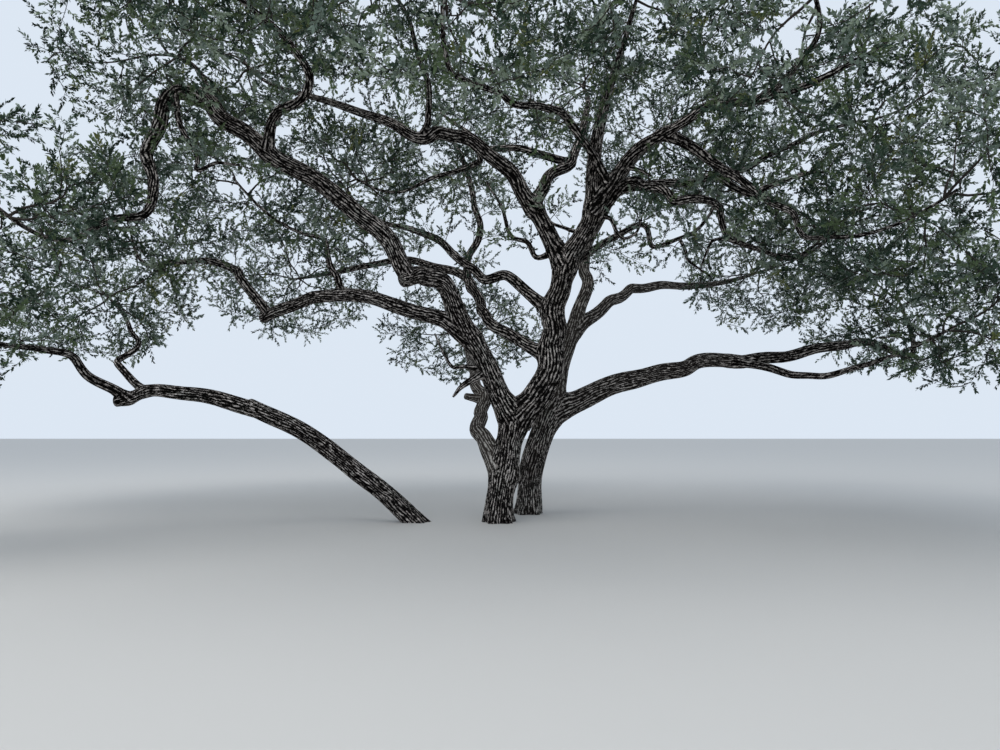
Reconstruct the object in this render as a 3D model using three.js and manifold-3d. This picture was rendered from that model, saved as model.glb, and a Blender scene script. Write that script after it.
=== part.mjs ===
// A live oak that stands as a clump of stems from one root, with its whole crown.
// Millimetres, +Z up, +X to the viewer's right, +Y away from the viewer.
// The origin is the middle of the front trunk's flat cut at ground level.

import * as THREE from "three";
import { mergeVertices } from "three/addons/utils/BufferGeometryUtils.js";
import Module from "manifold-3d";

const wasm = await Module();
wasm.setup();

const METRE = 1000;
const TOUCH_GAP = 0.35; // clear space where two pieces meet
const SAME_PLACE = 1e-3; // corners this near to each other are one

// Wood
const TAPER_POWER = 1.25; // above 1, a limb keeps its girth longer and then thins
const COLLAR_SWELL = 0.18; // a limb's root is this much thicker than its girth there
const COLLAR_REACH = 2.2; // in root radii, how far the swelling carries
const RUNS_ON = 0.95; // a limb from this near to its parent's tip runs on without a collar
const CROOK = 0.03 * METRE; // sideways wander of every limb between its elbows
const CROOK_WAVE = 1.15 * METRE; // length of one wander
const CURVE_TENSION = 0.5; // of the smooth curve through a limb's elbows
const RING_STEP = 0.52 * METRE; // along a bough, from one ring of corners to the next
const FOOT_RING_STEP = 0.36 * METRE; // the same on stems that stand in the ground
const STOUT_GIRTH = 0.25 * METRE; // limbs from here up have more sides
const FEWEST_RINGS = 3;
const SIDES = { foot: 10, stout: 7, slim: 5, stem: 4, twig: 3 };
const FOOT_DEPTH = 0.3 * METRE; // a stem is made this much too long and then cut level
const FLARE_HEIGHT = 0.26 * METRE; // height in which the root flare fades to a third
const FLARE_RIBS = 5;
const RIB_DEPTH = 0.16; // how far a rib of the flare stands out, as a share of the radius
const GROUND_SIZE = 24 * METRE;

// Foliage
const GOLDEN_ANGLE = Math.PI * (3 - Math.sqrt(5));
const BRANCHES_PER_METRE = 3.4; // branches of a mass, for each metre of its mean reach
const BRANCH_RADIUS = 0.024 * METRE; // at a branch's root
const BRANCH_THINNING = 0.5; // what is left of that radius where its blade starts
const BRANCH_ARCH = 0.1; // how strongly a branch arches up, for its length
const BRANCH_REACH = 0.97; // branches run this far towards the edge of their space
const BRANCH_ROLL = 0.8; // in radians, how far a branch's blade may roll to either side
const FIRST_BRANCH = 0.62; // share of the stem where a branch that turns back springs
const LAST_BRANCH = 0.98; // and where one that runs straight on does
const STEM_TIP_RADIUS = 0.022 * METRE;
const STEM_RINGS = 3;
const STEM_RUN_ON = 0.4; // how far a stem keeps its limb's heading, as a share of its length
const BLADE = { long: 0.95 * METRE, wide: 0.4 * METRE, thick: 0.034 * METRE };
const SHORTEST_BRANCH = 0.8 * BLADE.long;
const LONGEST_BLADE_SHARE = 0.8; // a short branch keeps this much of itself for its blade
const SPRAY_LENGTH = 1.05 * BLADE.long; // a side spray's blade with its short stalk
const SPRAY_SHARES = [0.42, 0.72]; // where side sprays spring from a branch
const SPRAY_LEAN = 0.55; // how far a side spray leans along its branch
const SPRAY_SWING = 1; // in radians, how far its direction may turn about the branch
const TRIES = [1, 0.86, 0.72, 0.58, 0.45]; // a twig that doesn't fit is tried shorter
const SPACE_GAP = 0.035; // between two masses' spaces, as a share of their reach
const LIMB_ROOM = 0.05 * METRE; // clear space round every limb
const TEST_STEP = 0.09 * METRE; // how closely a twig's way is looked over
const STEEP = 0.97; // a run with this much rise or fall is taken for upright

// Keys that keep one seeded draw apart from another
const DRAW = { spin: 1, branchRoll: 7, sprayRoll: 19, spraySwing: 31 };

const COLOURS = { bark: "#4b4640", foliage: "#67704c" };

// A limb springs from another limb at a share of its length, from 0 at the root to 1 at
// the tip, or stands in the ground on its foot. Girth is its diameter at both ends.
// Elbows are the bends that it passes, right, back and up from the origin; the last is
// its tip. All are in metres. Thins, where it is given, is a taper power of its own.
const LIMBS = [
  { name: "trunk_front", foot: [0, 0], flare: 0.05, girth: [0.45, 0.45],
    elbows: [[0.08, 0, 1], [0.3, 0.05, 1.85]] },
  { name: "stem_centre", from: "trunk_front", at: 0.97, girth: [0.52, 0.09],
    elbows: [[0.8, 0.1, 2.4], [0.95, 0.1, 3.1], [0.97, 0.05, 3.65], [1.1, 0, 4.3],
      [1.6, -0.3, 5.4], [1.65, -0.8, 6.6], [2.1, -0.9, 8.15]] },
  { name: "stem_right", foot: [0.53, 1.3], flare: 0.04, girth: [0.45, 0.47],
    elbows: [[0.6, 1.3, 0.7], [0.86, 1.3, 1.68], [1.08, 1.3, 2.1]] },
  { name: "stem_leaning", foot: [-1.5, 0], flare: 0.02, girth: [0.33, 0.28],
    elbows: [[-2.3, -0.1, 0.75], [-3.4, -0.3, 1.57], [-4.25, -0.5, 2]] },
  { name: "bough_left", from: "trunk_front", at: 0.94, girth: [0.38, 0.29],
    elbows: [[-0.25, -0.1, 2.7], [-0.85, -0.5, 3.9], [-1.25, -0.7, 4.2], [-1.6, -0.9, 4.1]] },
  { name: "bough_left_high", from: "bough_left", at: 0.97, girth: [0.31, 0.25],
    elbows: [[-2.1, -1, 5], [-3.45, -1.35, 5.9], [-4.3, -1.65, 6.45], [-4.7, -1.8, 6.85]] },
  { name: "bough_left_drop", from: "bough_left_high", at: 0.97, girth: [0.25, 0.07],
    elbows: [[-4.98, -1.85, 6.85], [-5.18, -1.95, 6.6], [-5.25, -2, 6.2],
      [-5.32, -2.1, 5.75], [-5.12, -2.35, 5.25], [-5.08, -2.6, 4.7], [-5.4, -2.9, 4.5],
      [-5.7, -3.1, 4.22]] },
  { name: "bough_left_rise", from: "bough_left_high", at: 0.7, girth: [0.17, 0.07],
    elbows: [[-3.45, -1.9, 6.5], [-2.85, -2.4, 6.55], [-2.85, -3, 6.9], [-3.3, -3.8, 7.1]] },
  { name: "bough_left_low", from: "bough_left", at: 0.47, girth: [0.27, 0.21],
    elbows: [[-1.25, -0.3, 3.6], [-2.9, 0.2, 4.05], [-3.85, 0.5, 3.9], [-4.45, 0.7, 3.7]] },
  { name: "bough_left_low_tip", from: "bough_left_low", at: 0.97, girth: [0.2, 0.08],
    elbows: [[-4.95, 1, 4.45], [-5.3, 1.2, 4.8], [-6.35, 1.6, 5], [-6.95, 1.8, 4.95]] },
  { name: "bough_left_inner", from: "bough_left_low", at: 0.6, girth: [0.13, 0.06],
    elbows: [[-3.05, 0.3, 4.5], [-3.3, 0.5, 5.1], [-3.95, 0.7, 5.4]] },
  { name: "bough_leaning", from: "stem_leaning", at: 0.96, girth: [0.28, 0.17],
    elbows: [[-5.4, -0.85, 2.25], [-6.1, -1.25, 2.05]] },
  { name: "bough_leaning_left", from: "bough_leaning", at: 0.92, girth: [0.16, 0.07],
    elbows: [[-6.35, -1.6, 2.45], [-6.5, -2.1, 2.75], [-6.7, -2.9, 2.75]] },
  { name: "bough_leaning_rise", from: "bough_leaning", at: 0.8, girth: [0.13, 0.08],
    elbows: [[-6.5, -0.5, 2.7], [-6.5, 0.1, 3.1], [-6.85, 0.5, 3.5]] },
  { name: "bough_top_left", from: "stem_centre", at: 0.43, girth: [0.32, 0.08],
    elbows: [[0.6, 0.05, 5.6], [0, -0.1, 6.4], [-0.85, -0.4, 6.8], [-1.4, -0.5, 6.7],
      [-2.4, -0.2, 7.25], [-4, 0.2, 7.9]] },
  { name: "bough_top_mid", from: "bough_top_left", at: 0.56, girth: [0.12, 0.07],
    elbows: [[-1.2, -0.8, 7.15], [-1.4, -1.7, 7.95]] },
  { name: "bough_top_low", from: "bough_top_left", at: 0.4, girth: [0.12, 0.06],
    elbows: [[-0.4, 0.2, 6.5], [-1.05, 0.5, 6.4], [-1.75, 0.8, 6.2]] },
  { name: "bough_top_back", from: "bough_top_left", at: 0.18, girth: [0.23, 0.14],
    elbows: [[0.9, 0.5, 6.3], [1.45, 1.1, 6.95], [1.85, 2.1, 8.4]] },
  { name: "bough_mid", from: "stem_centre", at: 0.305, girth: [0.22, 0.1],
    elbows: [[0.15, 0.6, 4.45], [-0.35, 0.9, 4.5], [-0.85, 1.1, 5], [-1.55, 1.5, 5.55],
      [-2.25, 2, 5.85]] },
  { name: "bough_mid_low", from: "stem_centre", at: 0.185, girth: [0.23, 0.12],
    elbows: [[-0.15, 0.8, 3.6], [-0.4, 1.4, 4.1], [-0.8, 2.1, 4.8], [-2.2, 3.25, 5.4],
      [-3.85, 4.2, 5.35]] },
  { name: "bough_mid_rise", from: "bough_mid_low", at: 0.4, girth: [0.16, 0.11],
    elbows: [[-0.7, 2.05, 5.05], [-0.45, 2.3, 5.7], [-0.55, 2.7, 6.55], [-0.8, 3.1, 7.55]] },
  { name: "bough_right_high", from: "stem_centre", at: 0.59, girth: [0.27, 0.07], thins: 0.7,
    elbows: [[2.2, -1, 6.15], [3.1, -2.3, 6.4], [3.65, -3, 6.2], [3.95, -3.85, 6.45]] },
  { name: "bough_right_mid", from: "bough_right_high", at: 0.4, girth: [0.18, 0.06],
    elbows: [[3.2, -1.4, 6.1], [3.55, -1.8, 5.55], [3.95, -2.25, 5.05], [4.25, -2.4, 4.75],
      [4.4, -2.5, 4.4], [4.75, -2.6, 4.35]] },
  { name: "bough_right_inner", from: "stem_centre", at: 0.54, girth: [0.19, 0.07],
    elbows: [[2.2, -0.5, 5.85], [2.55, -1.15, 5.55], [2.85, -1.5, 5.25], [3.6, -1.1, 5.3],
      [3.85, -0.7, 4.9], [5, -0.1, 4.65]] },
  { name: "bough_right_outer", from: "bough_right_inner", at: 0.17, girth: [0.15, 0.08],
    elbows: [[3.4, -0.6, 5.9], [4.35, -0.5, 6.2], [5.45, -0.2, 6.8]] },
  { name: "bough_right_thin", from: "stem_centre", at: 0.43, girth: [0.14, 0.07],
    elbows: [[2.05, 0.3, 5.1], [2.65, 0.6, 5.45], [2.95, 0.8, 5.1], [3.6, 1, 5.35]] },
  { name: "bough_front", from: "bough_right_high", at: 0.11, girth: [0.15, 0.06],
    elbows: [[1.2, -1.3, 6.55], [0.7, -2.2, 6.45], [0.3, -3, 6.1], [-0.05, -3.6, 6],
      [-0.5, -4.6, 5.7]] },
  { name: "bough_right_low", from: "stem_right", at: 0.93, girth: [0.42, 0.25],
    elbows: [[1.95, 1.4, 2.35], [2.75, 1.4, 2.65], [3.45, 1.4, 2.74], [3.9, 1.35, 2.95],
      [4.75, 1.25, 2.92]] },
  { name: "bough_right_low_tip", from: "bough_right_low", at: 0.97, girth: [0.24, 0.12],
    elbows: [[5.25, 1.15, 3], [6.2, 1.1, 3.15], [7, 1.15, 3.3], [7.9, 1.3, 3.05]] },
  { name: "bough_right_low_side", from: "bough_right_low", at: 0.93, girth: [0.17, 0.09],
    elbows: [[5.3, 0.7, 2.7], [5.7, 0.3, 2.55], [6.25, -0.2, 2.7]] },
  { name: "stem_back", from: "stem_right", at: 0.9, girth: [0.33, 0.12],
    elbows: [[1.3, 1.4, 3.15], [1.75, 1.75, 4.5], [1.8, 2.1, 5.35], [2.7, 2.6, 7.1]] },
  { name: "bough_right_back", from: "stem_back", at: 0.3, girth: [0.26, 0.15],
    elbows: [[2.3, 2.1, 4.25], [3.1, 2.8, 4.7], [4.5, 3.6, 4.9]] },
  { name: "bough_back", from: "trunk_front", at: 0.52, girth: [0.36, 0.13], thins: 0.6,
    elbows: [[-0.25, 0.25, 1.35], [-0.4, 0.5, 1.65], [-0.35, 0.75, 1.9], [-0.32, 1.05, 2.2],
      [-0.5, 1.5, 2.6], [-0.6, 2.6, 3], [-0.8, 4.1, 3.55]] },
  { name: "bough_left_crest", from: "bough_left_high", at: 0.9, girth: [0.13, 0.07],
    elbows: [[-4.6, -1.65, 6.95], [-4.8, -1.6, 7.3]] },
];

// A mass of foliage grows from the tip of its limb and fills a rounded space of its own:
// the middle and the reach right, back and up from there, in metres.
const MASSES = [
  { name: "foliage_left_crest", limb: "bough_left_crest",
    middle: [-5.45, -1.4, 7.7], reach: [1.9, 2, 1.6] },
  { name: "foliage_left_front", limb: "bough_left_drop",
    middle: [-6.7, -3.6, 4.65], reach: [1.9, 1.9, 1.2] },
  { name: "foliage_front_left", limb: "bough_left_rise",
    middle: [-3.5, -5, 7.6], reach: [2.1, 2, 1.6] },
  { name: "foliage_left_back", limb: "bough_left_low_tip",
    middle: [-8, 2.6, 6], reach: [1.9, 2, 1.7] },
  { name: "foliage_left_inner", limb: "bough_left_inner",
    middle: [-5.2, 1, 6.5], reach: [1.7, 1.5, 1.25] },
  { name: "foliage_low_left_front", limb: "bough_leaning_left",
    middle: [-7.6, -3.4, 3.35], reach: [1.9, 2, 1.3] },
  { name: "foliage_low_left_back", limb: "bough_leaning_rise",
    middle: [-7.7, 1, 4.3], reach: [2, 2.1, 1.5] },
  { name: "foliage_top_far_left", limb: "bough_top_left",
    middle: [-5, 0.9, 8.8], reach: [2.1, 2.1, 1.6] },
  { name: "foliage_top_left", limb: "bough_top_mid",
    middle: [-2.2, -1.8, 8.9], reach: [2.2, 2.1, 1.75] },
  { name: "foliage_mid_left", limb: "bough_top_low",
    middle: [-2.9, 1.2, 6.6], reach: [1.6, 1.3, 1.15] },
  { name: "foliage_top_back", limb: "bough_top_back",
    middle: [1.8, 3, 9.4], reach: [2.3, 2.2, 1.5] },
  { name: "foliage_mid_back_left", limb: "bough_mid",
    middle: [-3.6, 3.2, 7.2], reach: [1.7, 1.8, 1.4] },
  { name: "foliage_back_left", limb: "bough_mid_low",
    middle: [-5.3, 5.3, 5.4], reach: [2.3, 2.2, 1.6] },
  { name: "foliage_top_back_left", limb: "bough_mid_rise",
    middle: [-1.2, 4.2, 8.6], reach: [2.2, 2.1, 1.7] },
  { name: "foliage_top", limb: "stem_centre",
    middle: [2.3, -1.5, 8.85], reach: [2.4, 2.5, 1.7] },
  { name: "foliage_front_right", limb: "bough_right_high",
    middle: [3.6, -4.6, 6.95], reach: [2, 2.3, 1.7] },
  { name: "foliage_right_front", limb: "bough_right_mid",
    middle: [6.3, -3, 4.9], reach: [2.1, 1.9, 1.5] },
  { name: "foliage_right_inner", limb: "bough_right_inner",
    middle: [6.2, 0, 5.3], reach: [1.9, 1.9, 1.4] },
  { name: "foliage_right_high", limb: "bough_right_outer",
    middle: [6.7, -0.3, 7.1], reach: [2.3, 2.4, 1.6] },
  { name: "foliage_right_mid", limb: "bough_right_thin",
    middle: [4.5, 1.2, 6.8], reach: [1.7, 1.7, 1.15] },
  { name: "foliage_front", limb: "bough_front",
    middle: [-0.6, -5.2, 6.85], reach: [2.3, 1.9, 1.6] },
  { name: "foliage_right", limb: "bough_right_low_tip",
    middle: [8, 1.6, 4.2], reach: [2.3, 2.1, 1.5] },
  { name: "foliage_low_right", limb: "bough_right_low_side",
    middle: [7.4, -1.2, 3.3], reach: [1.7, 1.8, 1.1] },
  { name: "foliage_high_back_right", limb: "stem_back",
    middle: [4, 3.4, 8.35], reach: [2.3, 2.1, 1.8] },
  { name: "foliage_back_right", limb: "bough_right_back",
    middle: [6.7, 4.8, 5.6], reach: [2.3, 2.2, 1.6] },
  { name: "foliage_back", limb: "bough_back",
    middle: [-1, 5.8, 4.2], reach: [2.2, 2, 1.4] },
];

const metres = (numbers) => new THREE.Vector3(...numbers).multiplyScalar(METRE);

function branchCount([right, back, up]) {
  return Math.round(BRANCHES_PER_METRE * Math.cbrt(right * back * up));
}

// Chance: an even spread of values from 0 to 1, always the same for the same two keys.
function chance(key, turn) {
  const wave = Math.sin(key * 12.9898 + turn * 78.233) * 43758.5453;
  return wave - Math.floor(wave);
}

// The same spread evenly from -1 to 1.
function spread(key, turn) {
  return 2 * chance(key, turn) - 1;
}

// A limb's middle line: smooth through its elbows, with a small seeded wander.
class LimbLine extends THREE.Curve {
  constructor(points, key) {
    super();
    this.smooth = new THREE.CatmullRomCurve3(points, false, "catmullrom", CURVE_TENSION);
    this.waves = Math.max(1, Math.round(this.smooth.getLength() / CROOK_WAVE));
    this.phases = [0, 1, 2].map((axis) => chance(key, axis));
  }

  getPoint(share, target = new THREE.Vector3()) {
    this.smooth.getPoint(share, target);
    const fade = CROOK * Math.sin(Math.PI * share);
    const wander = this.phases.map((phase) => Math.sin(2 * Math.PI * (this.waves * share + phase)));
    return target.addScaledVector(new THREE.Vector3(...wander), fade);
  }
}

// The point under a foot where a stem is started, in line with its first run.
function underFoot(foot, firstElbow) {
  const run = firstElbow.clone().sub(foot);
  return foot.clone().addScaledVector(run, -FOOT_DEPTH / run.z);
}

function layOutLimb(limb, key, laidOut) {
  const points = limb.elbows.map(metres);
  if (limb.foot) {
    const foot = metres([...limb.foot, 0]);
    points.unshift(underFoot(foot, points[0]), foot);
  } else {
    const parent = laidOut.get(limb.from);
    points.unshift(parent.line.getPointAt(limb.at));
    limb.rootDepth = radiusAt(parent, limb.at);
  }
  limb.line = new LimbLine(points, key);
  limb.length = limb.line.getLength();
  limb.radii = limb.girth.map((girth) => (girth * METRE) / 2);
  const step = limb.foot ? FOOT_RING_STEP : RING_STEP;
  limb.steps = Math.max(FEWEST_RINGS, Math.round(limb.length / step));
  const boughSides = limb.girth[0] * METRE >= STOUT_GIRTH ? SIDES.stout : SIDES.slim;
  limb.sides = limb.foot ? SIDES.foot : boughSides;
  laidOut.set(limb.name, limb);
}

// Radius of a limb at a share of its length: its taper and the collar at its root.
function radiusAt(limb, share) {
  const [root, tip] = limb.radii;
  const taper = root + (tip - root) * share ** (limb.thins ?? TAPER_POWER);
  if (limb.foot || limb.at >= RUNS_ON) {
    return taper;
  }
  const clear = Math.max(0, share * limb.length - limb.rootDepth);
  return taper * (1 + COLLAR_SWELL * Math.exp(-clear / (COLLAR_REACH * root)));
}

// A closed bar through rings of corners. Each ring has its middle, the two directions
// across it, and its half sizes along them. A ring of no size makes a point.
function bar(rings, sides) {
  const geometry = new THREE.CylinderGeometry(1, 1, 1, sides, rings.length - 1);
  const corners = geometry.attributes.position;
  const place = new THREE.Vector3();
  for (let i = 0; i < corners.count; i += 1) {
    const ring = rings[Math.round((corners.getY(i) + 0.5) * (rings.length - 1))];
    const turn = Math.atan2(corners.getX(i), corners.getZ(i));
    const rib = 1 + (ring.rib ?? 0) * Math.cos(FLARE_RIBS * turn);
    place.copy(ring.middle);
    place.addScaledVector(ring.across, corners.getX(i) * ring.wide * rib);
    place.addScaledVector(ring.over, corners.getZ(i) * ring.thick * rib);
    corners.setXYZ(i, place.x, place.y, place.z);
  }
  return solidOf(geometry);
}

// The solid of a closed mesh: corners at one place become one, and faces that this
// leaves without any area are dropped.
function solidOf(geometry) {
  geometry.deleteAttribute("normal");
  geometry.deleteAttribute("uv");
  const merged = mergeVertices(geometry, SAME_PLACE);
  const { array } = merged.index;
  const triVerts = [];
  for (let i = 0; i < array.length; i += 3) {
    const face = [array[i], array[i + 1], array[i + 2]];
    if (new Set(face).size === 3) {
      triVerts.push(...face);
    }
  }
  return new wasm.Manifold(new wasm.Mesh({
    numProp: 3,
    vertProperties: Float32Array.from(merged.attributes.position.array),
    triVerts: Uint32Array.from(triVerts),
  }));
}

function geometryOf(solid) {
  const shape = solid.getMesh();
  const geometry = new THREE.BufferGeometry();
  geometry.setAttribute("position", new THREE.BufferAttribute(shape.vertProperties, 3));
  geometry.setIndex(new THREE.BufferAttribute(shape.triVerts, 1));
  geometry.computeVertexNormals();
  return geometry;
}

function largestPiece(solid) {
  const pieces = solid.decompose();
  return pieces.reduce((best, piece) => (piece.volume() > best.volume() ? piece : best));
}

function levelGround() {
  const box = new THREE.BoxGeometry(GROUND_SIZE, GROUND_SIZE, METRE).translate(0, 0, -METRE / 2);
  return solidOf(box);
}

// A limb's solid. With growth it is that much larger all over, for cutting its neighbours.
function limbSolid(limb, growth) {
  const frames = limb.line.computeFrenetFrames(limb.steps, false);
  const facetGrowth = growth / Math.cos(Math.PI / limb.sides);
  const rings = frames.tangents.map((tangent, step) => {
    const middle = limb.line.getPointAt(step / limb.steps);
    const lift = limb.foot ? Math.exp(-Math.max(0, middle.z) / FLARE_HEIGHT) : 0;
    const flare = limb.foot ? limb.flare * METRE * lift : 0;
    const radius = radiusAt(limb, step / limb.steps) + flare + facetGrowth;
    const end = Math.sign(step) - Math.sign(limb.steps - step);
    middle.addScaledVector(tangent, growth * end);
    return {
      middle,
      across: frames.binormals[step],
      over: frames.normals[step],
      wide: radius,
      thick: radius,
      rib: RIB_DEPTH * lift,
    };
  });
  return bar(rings, limb.sides);
}

// Each limb in turn is cut clear of the ground and of the limbs made before it.
function makeLimbs(limbs) {
  const ground = levelGround();
  const cutters = [];
  for (const limb of limbs) {
    let solid = limbSolid(limb, 0);
    for (const cutter of limb.foot ? [ground] : cutters) {
      solid = solid.subtract(cutter);
    }
    limb.solid = largestPiece(solid);
    cutters.push(limbSolid(limb, TOUCH_GAP));
  }
}

// Points along every limb with the radius there, for keeping foliage off the wood.
function limbBeads(limbs) {
  return limbs.flatMap((limb) => {
    const count = Math.ceil(limb.length / TEST_STEP);
    return Array.from({ length: count + 1 }, (_, step) => ({
      place: limb.line.getPointAt(step / count),
      radius: radiusAt(limb, step / count),
    }));
  });
}

function spaceDistance(mass, place) {
  return place.clone().sub(mass.middle).divide(mass.reach).length();
}

// Whether a place lies in a mass's own space, nearer to it than to any other mass, and
// clear of all wood.
function isFree(mass, place, masses, beads) {
  const own = spaceDistance(mass, place);
  if (own > 1) {
    return false;
  }
  if (masses.some((other) => other !== mass && spaceDistance(other, place) < own + SPACE_GAP)) {
    return false;
  }
  return !beads.some((bead) => bead.place.distanceTo(place) < bead.radius + LIMB_ROOM);
}

// Two directions square to a run: the first one level before the given roll about the run.
function squareTo(run, roll) {
  const aside = Math.abs(run.z) > STEEP ? new THREE.Vector3(1, 0, 0) : new THREE.Vector3(0, 0, 1);
  const across = new THREE.Vector3().crossVectors(run, aside).normalize();
  across.applyAxisAngle(run, roll);
  const over = new THREE.Vector3().crossVectors(across, run);
  return { across, over };
}

// The blade of leaves at the end of a run: where it is widest, its edges and its tip.
function bladeMarks(tip, run, roll) {
  const { across, over } = squareTo(run, roll);
  const base = tip.clone().addScaledVector(run, -BLADE.long);
  const middle = base.clone().lerp(tip, 0.5);
  const left = middle.clone().addScaledVector(across, BLADE.wide / 2);
  const right = middle.clone().addScaledVector(across, -BLADE.wide / 2);
  return { base, middle, left, right, across, over };
}

// The farthest tip towards a target that keeps a twig and its blade in free space.
function findTip(root, target, roll, free) {
  for (const share of TRIES) {
    const tip = root.clone().lerp(target, share);
    const run = tip.clone().sub(root);
    const length = run.length();
    run.normalize();
    const blade = bladeMarks(tip, run, roll);
    const steps = Math.ceil(length / TEST_STEP);
    const way = Array.from({ length: steps }, (_, i) => root.clone().lerp(tip, (i + 1) / steps));
    if (length > SHORTEST_BRANCH && [...way, blade.left, blade.right].every(free)) {
      return { tip, run, length, blade };
    }
  }
  return null;
}

// How much an arched branch stands above its straight line, at a share of its length.
function archRise(length, share) {
  return length * BRANCH_ARCH * share * (1 - share);
}

// A branch: a three-sided twig, arched a little, that ends in a blade of leaves.
function branchSolid(root, found) {
  const { tip, length, blade } = found;
  const bladeShare = Math.min(LONGEST_BLADE_SHARE, BLADE.long / length);
  const ring = (share, wide, thick) => {
    const middle = root.clone().lerp(tip, share);
    middle.z += archRise(length, share);
    return { middle, across: blade.across, over: blade.over, wide, thick };
  };
  const slim = BRANCH_RADIUS * BRANCH_THINNING;
  return bar([
    ring(0, BRANCH_RADIUS, BRANCH_RADIUS),
    ring(1 - bladeShare, slim, slim),
    ring(1 - bladeShare / 2, BLADE.wide / Math.sqrt(3), BLADE.thick / 2),
    ring(1, 0, 0),
  ], SIDES.twig);
}

// A side spray: one blade of eight faces with its root sunk in the branch.
function spraySolid(root, found) {
  const { tip, run, length, blade } = found;
  const geometry = new THREE.OctahedronGeometry(1);
  const corners = geometry.attributes.position;
  const middle = root.clone().lerp(tip, 0.5);
  for (let i = 0; i < corners.count; i += 1) {
    const place = middle.clone();
    place.addScaledVector(blade.across, (corners.getX(i) * BLADE.wide) / 2);
    place.addScaledVector(run, (corners.getY(i) * length) / 2);
    place.addScaledVector(blade.over, (corners.getZ(i) * BLADE.thick) / 2);
    corners.setXYZ(i, place.x, place.y, place.z);
  }
  return solidOf(geometry);
}

// The stem of a mass: on from its limb's tip and into the middle of its space.
function stemLine(mass) {
  const { limb } = mass;
  const heading = limb.line.getTangentAt(1);
  const root = limb.line.getPointAt(1).addScaledVector(heading, TOUCH_GAP);
  const bend = root.clone().addScaledVector(heading, root.distanceTo(mass.middle) * STEM_RUN_ON);
  return new THREE.QuadraticBezierCurve3(root, bend, mass.middle);
}

function stemSolid(mass, line) {
  const frames = line.computeFrenetFrames(STEM_RINGS, false);
  const rings = frames.tangents.map((_, step) => {
    const radius = THREE.MathUtils.lerp(mass.limb.radii[1], STEM_TIP_RADIUS, step / STEM_RINGS);
    return {
      middle: line.getPointAt(step / STEM_RINGS),
      across: frames.binormals[step],
      over: frames.normals[step],
      wide: radius,
      thick: radius,
    };
  });
  return bar(rings, SIDES.stem);
}

// Branches head for points spread evenly over the edge of the space, lowest first.
function branchTarget(mass, key, index) {
  const height = -1 + (2 * (index + 0.5)) / mass.branches;
  const turn = index * GOLDEN_ANGLE + 2 * Math.PI * chance(key, DRAW.spin);
  const level = Math.sqrt(1 - height * height);
  const towards = new THREE.Vector3(Math.cos(turn) * level, Math.sin(turn) * level, height);
  const offset = towards.clone().multiply(mass.reach).multiplyScalar(BRANCH_REACH);
  return { towards, target: mass.middle.clone().add(offset) };
}

// Side sprays lean out of their branch, one to each side in turn.
function sprayTarget(at, branch, key, turn) {
  const side = turn % 2 === 0 ? 1 : -1;
  const swing = SPRAY_SWING * spread(key, turn + DRAW.spraySwing);
  const out = squareTo(branch.run, swing).across.multiplyScalar(side);
  const run = out.addScaledVector(branch.run, SPRAY_LEAN).normalize();
  return at.clone().addScaledVector(run, SPRAY_LENGTH);
}

function addSideSprays(solid, root, branch, key, index, free) {
  return SPRAY_SHARES.reduce((whole, share, order) => {
    const at = root.clone().lerp(branch.tip, share);
    at.z += archRise(branch.length, share);
    const target = sprayTarget(at, branch, key, index + order);
    const spray = findTip(at, target, chance(key, index + DRAW.sprayRoll), free);
    return spray ? whole.add(spraySolid(at, spray)) : whole;
  }, solid);
}

// One mass of foliage: its stem, the branches spread round it, and their side sprays.
function growMass(mass, key, masses, beads) {
  const free = (place) => isFree(mass, place, masses, beads);
  const line = stemLine(mass);
  const heading = mass.middle.clone().sub(line.v0).normalize();
  let solid = stemSolid(mass, line);
  for (let index = 0; index < mass.branches; index += 1) {
    const { towards, target } = branchTarget(mass, key, index);
    const onward = (1 + towards.dot(heading)) / 2;
    const root = line.getPointAt(THREE.MathUtils.lerp(FIRST_BRANCH, LAST_BRANCH, onward));
    const roll = BRANCH_ROLL * spread(key, index + DRAW.branchRoll);
    const branch = findTip(root, target, roll, free);
    if (branch) {
      solid = solid.add(branchSolid(root, branch));
      solid = addSideSprays(solid, root, branch, key, index, free);
    }
  }
  return largestPiece(solid);
}

const materials = {
  bark: () => new THREE.MeshStandardMaterial({
    color: COLOURS.bark, roughness: 0.93, metalness: 0, flatShading: true }),
  foliage: () => new THREE.MeshStandardMaterial({
    color: COLOURS.foliage, roughness: 0.6, metalness: 0, flatShading: true }),
};

function addNode(group, name, solid, material) {
  const mesh = new THREE.Mesh(geometryOf(solid), material);
  mesh.name = name;
  group.add(mesh);
}

function buildTree() {
  const tree = new THREE.Group();
  const laidOut = new Map();
  LIMBS.forEach((limb, key) => layOutLimb(limb, key + 1, laidOut));
  makeLimbs(LIMBS);
  LIMBS.forEach((limb) => addNode(tree, limb.name, limb.solid, materials.bark()));

  const beads = limbBeads(LIMBS);
  const masses = MASSES.map((mass) => ({
    name: mass.name,
    limb: laidOut.get(mass.limb),
    middle: metres(mass.middle),
    reach: metres(mass.reach),
    branches: branchCount(mass.reach),
  }));
  masses.forEach((mass, key) => {
    addNode(tree, mass.name, growMass(mass, key + 1, masses, beads), materials.foliage());
  });
  return tree;
}

export default buildTree();
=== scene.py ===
# %% [markdown]
# # A live oak, grown twig by twig
# The frame is a plain model of an old live oak: a clump of stems from one root, crooked
# boughs, and masses of foliage that are only twigs with large blades. This lesson dresses
# it. The bark becomes a mesh with real furrows, and each mass grows on to fine twigs and
# small leaves by the same rule that grew the plain one.
# We could scatter leaves with a particle system, but an exported model drops particles.
# Numpy arrays that end as ordinary meshes stay whole, and are quick to make.

# %% Load the frame
import math

import bpy
import numpy as np
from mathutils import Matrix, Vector, noise


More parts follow.
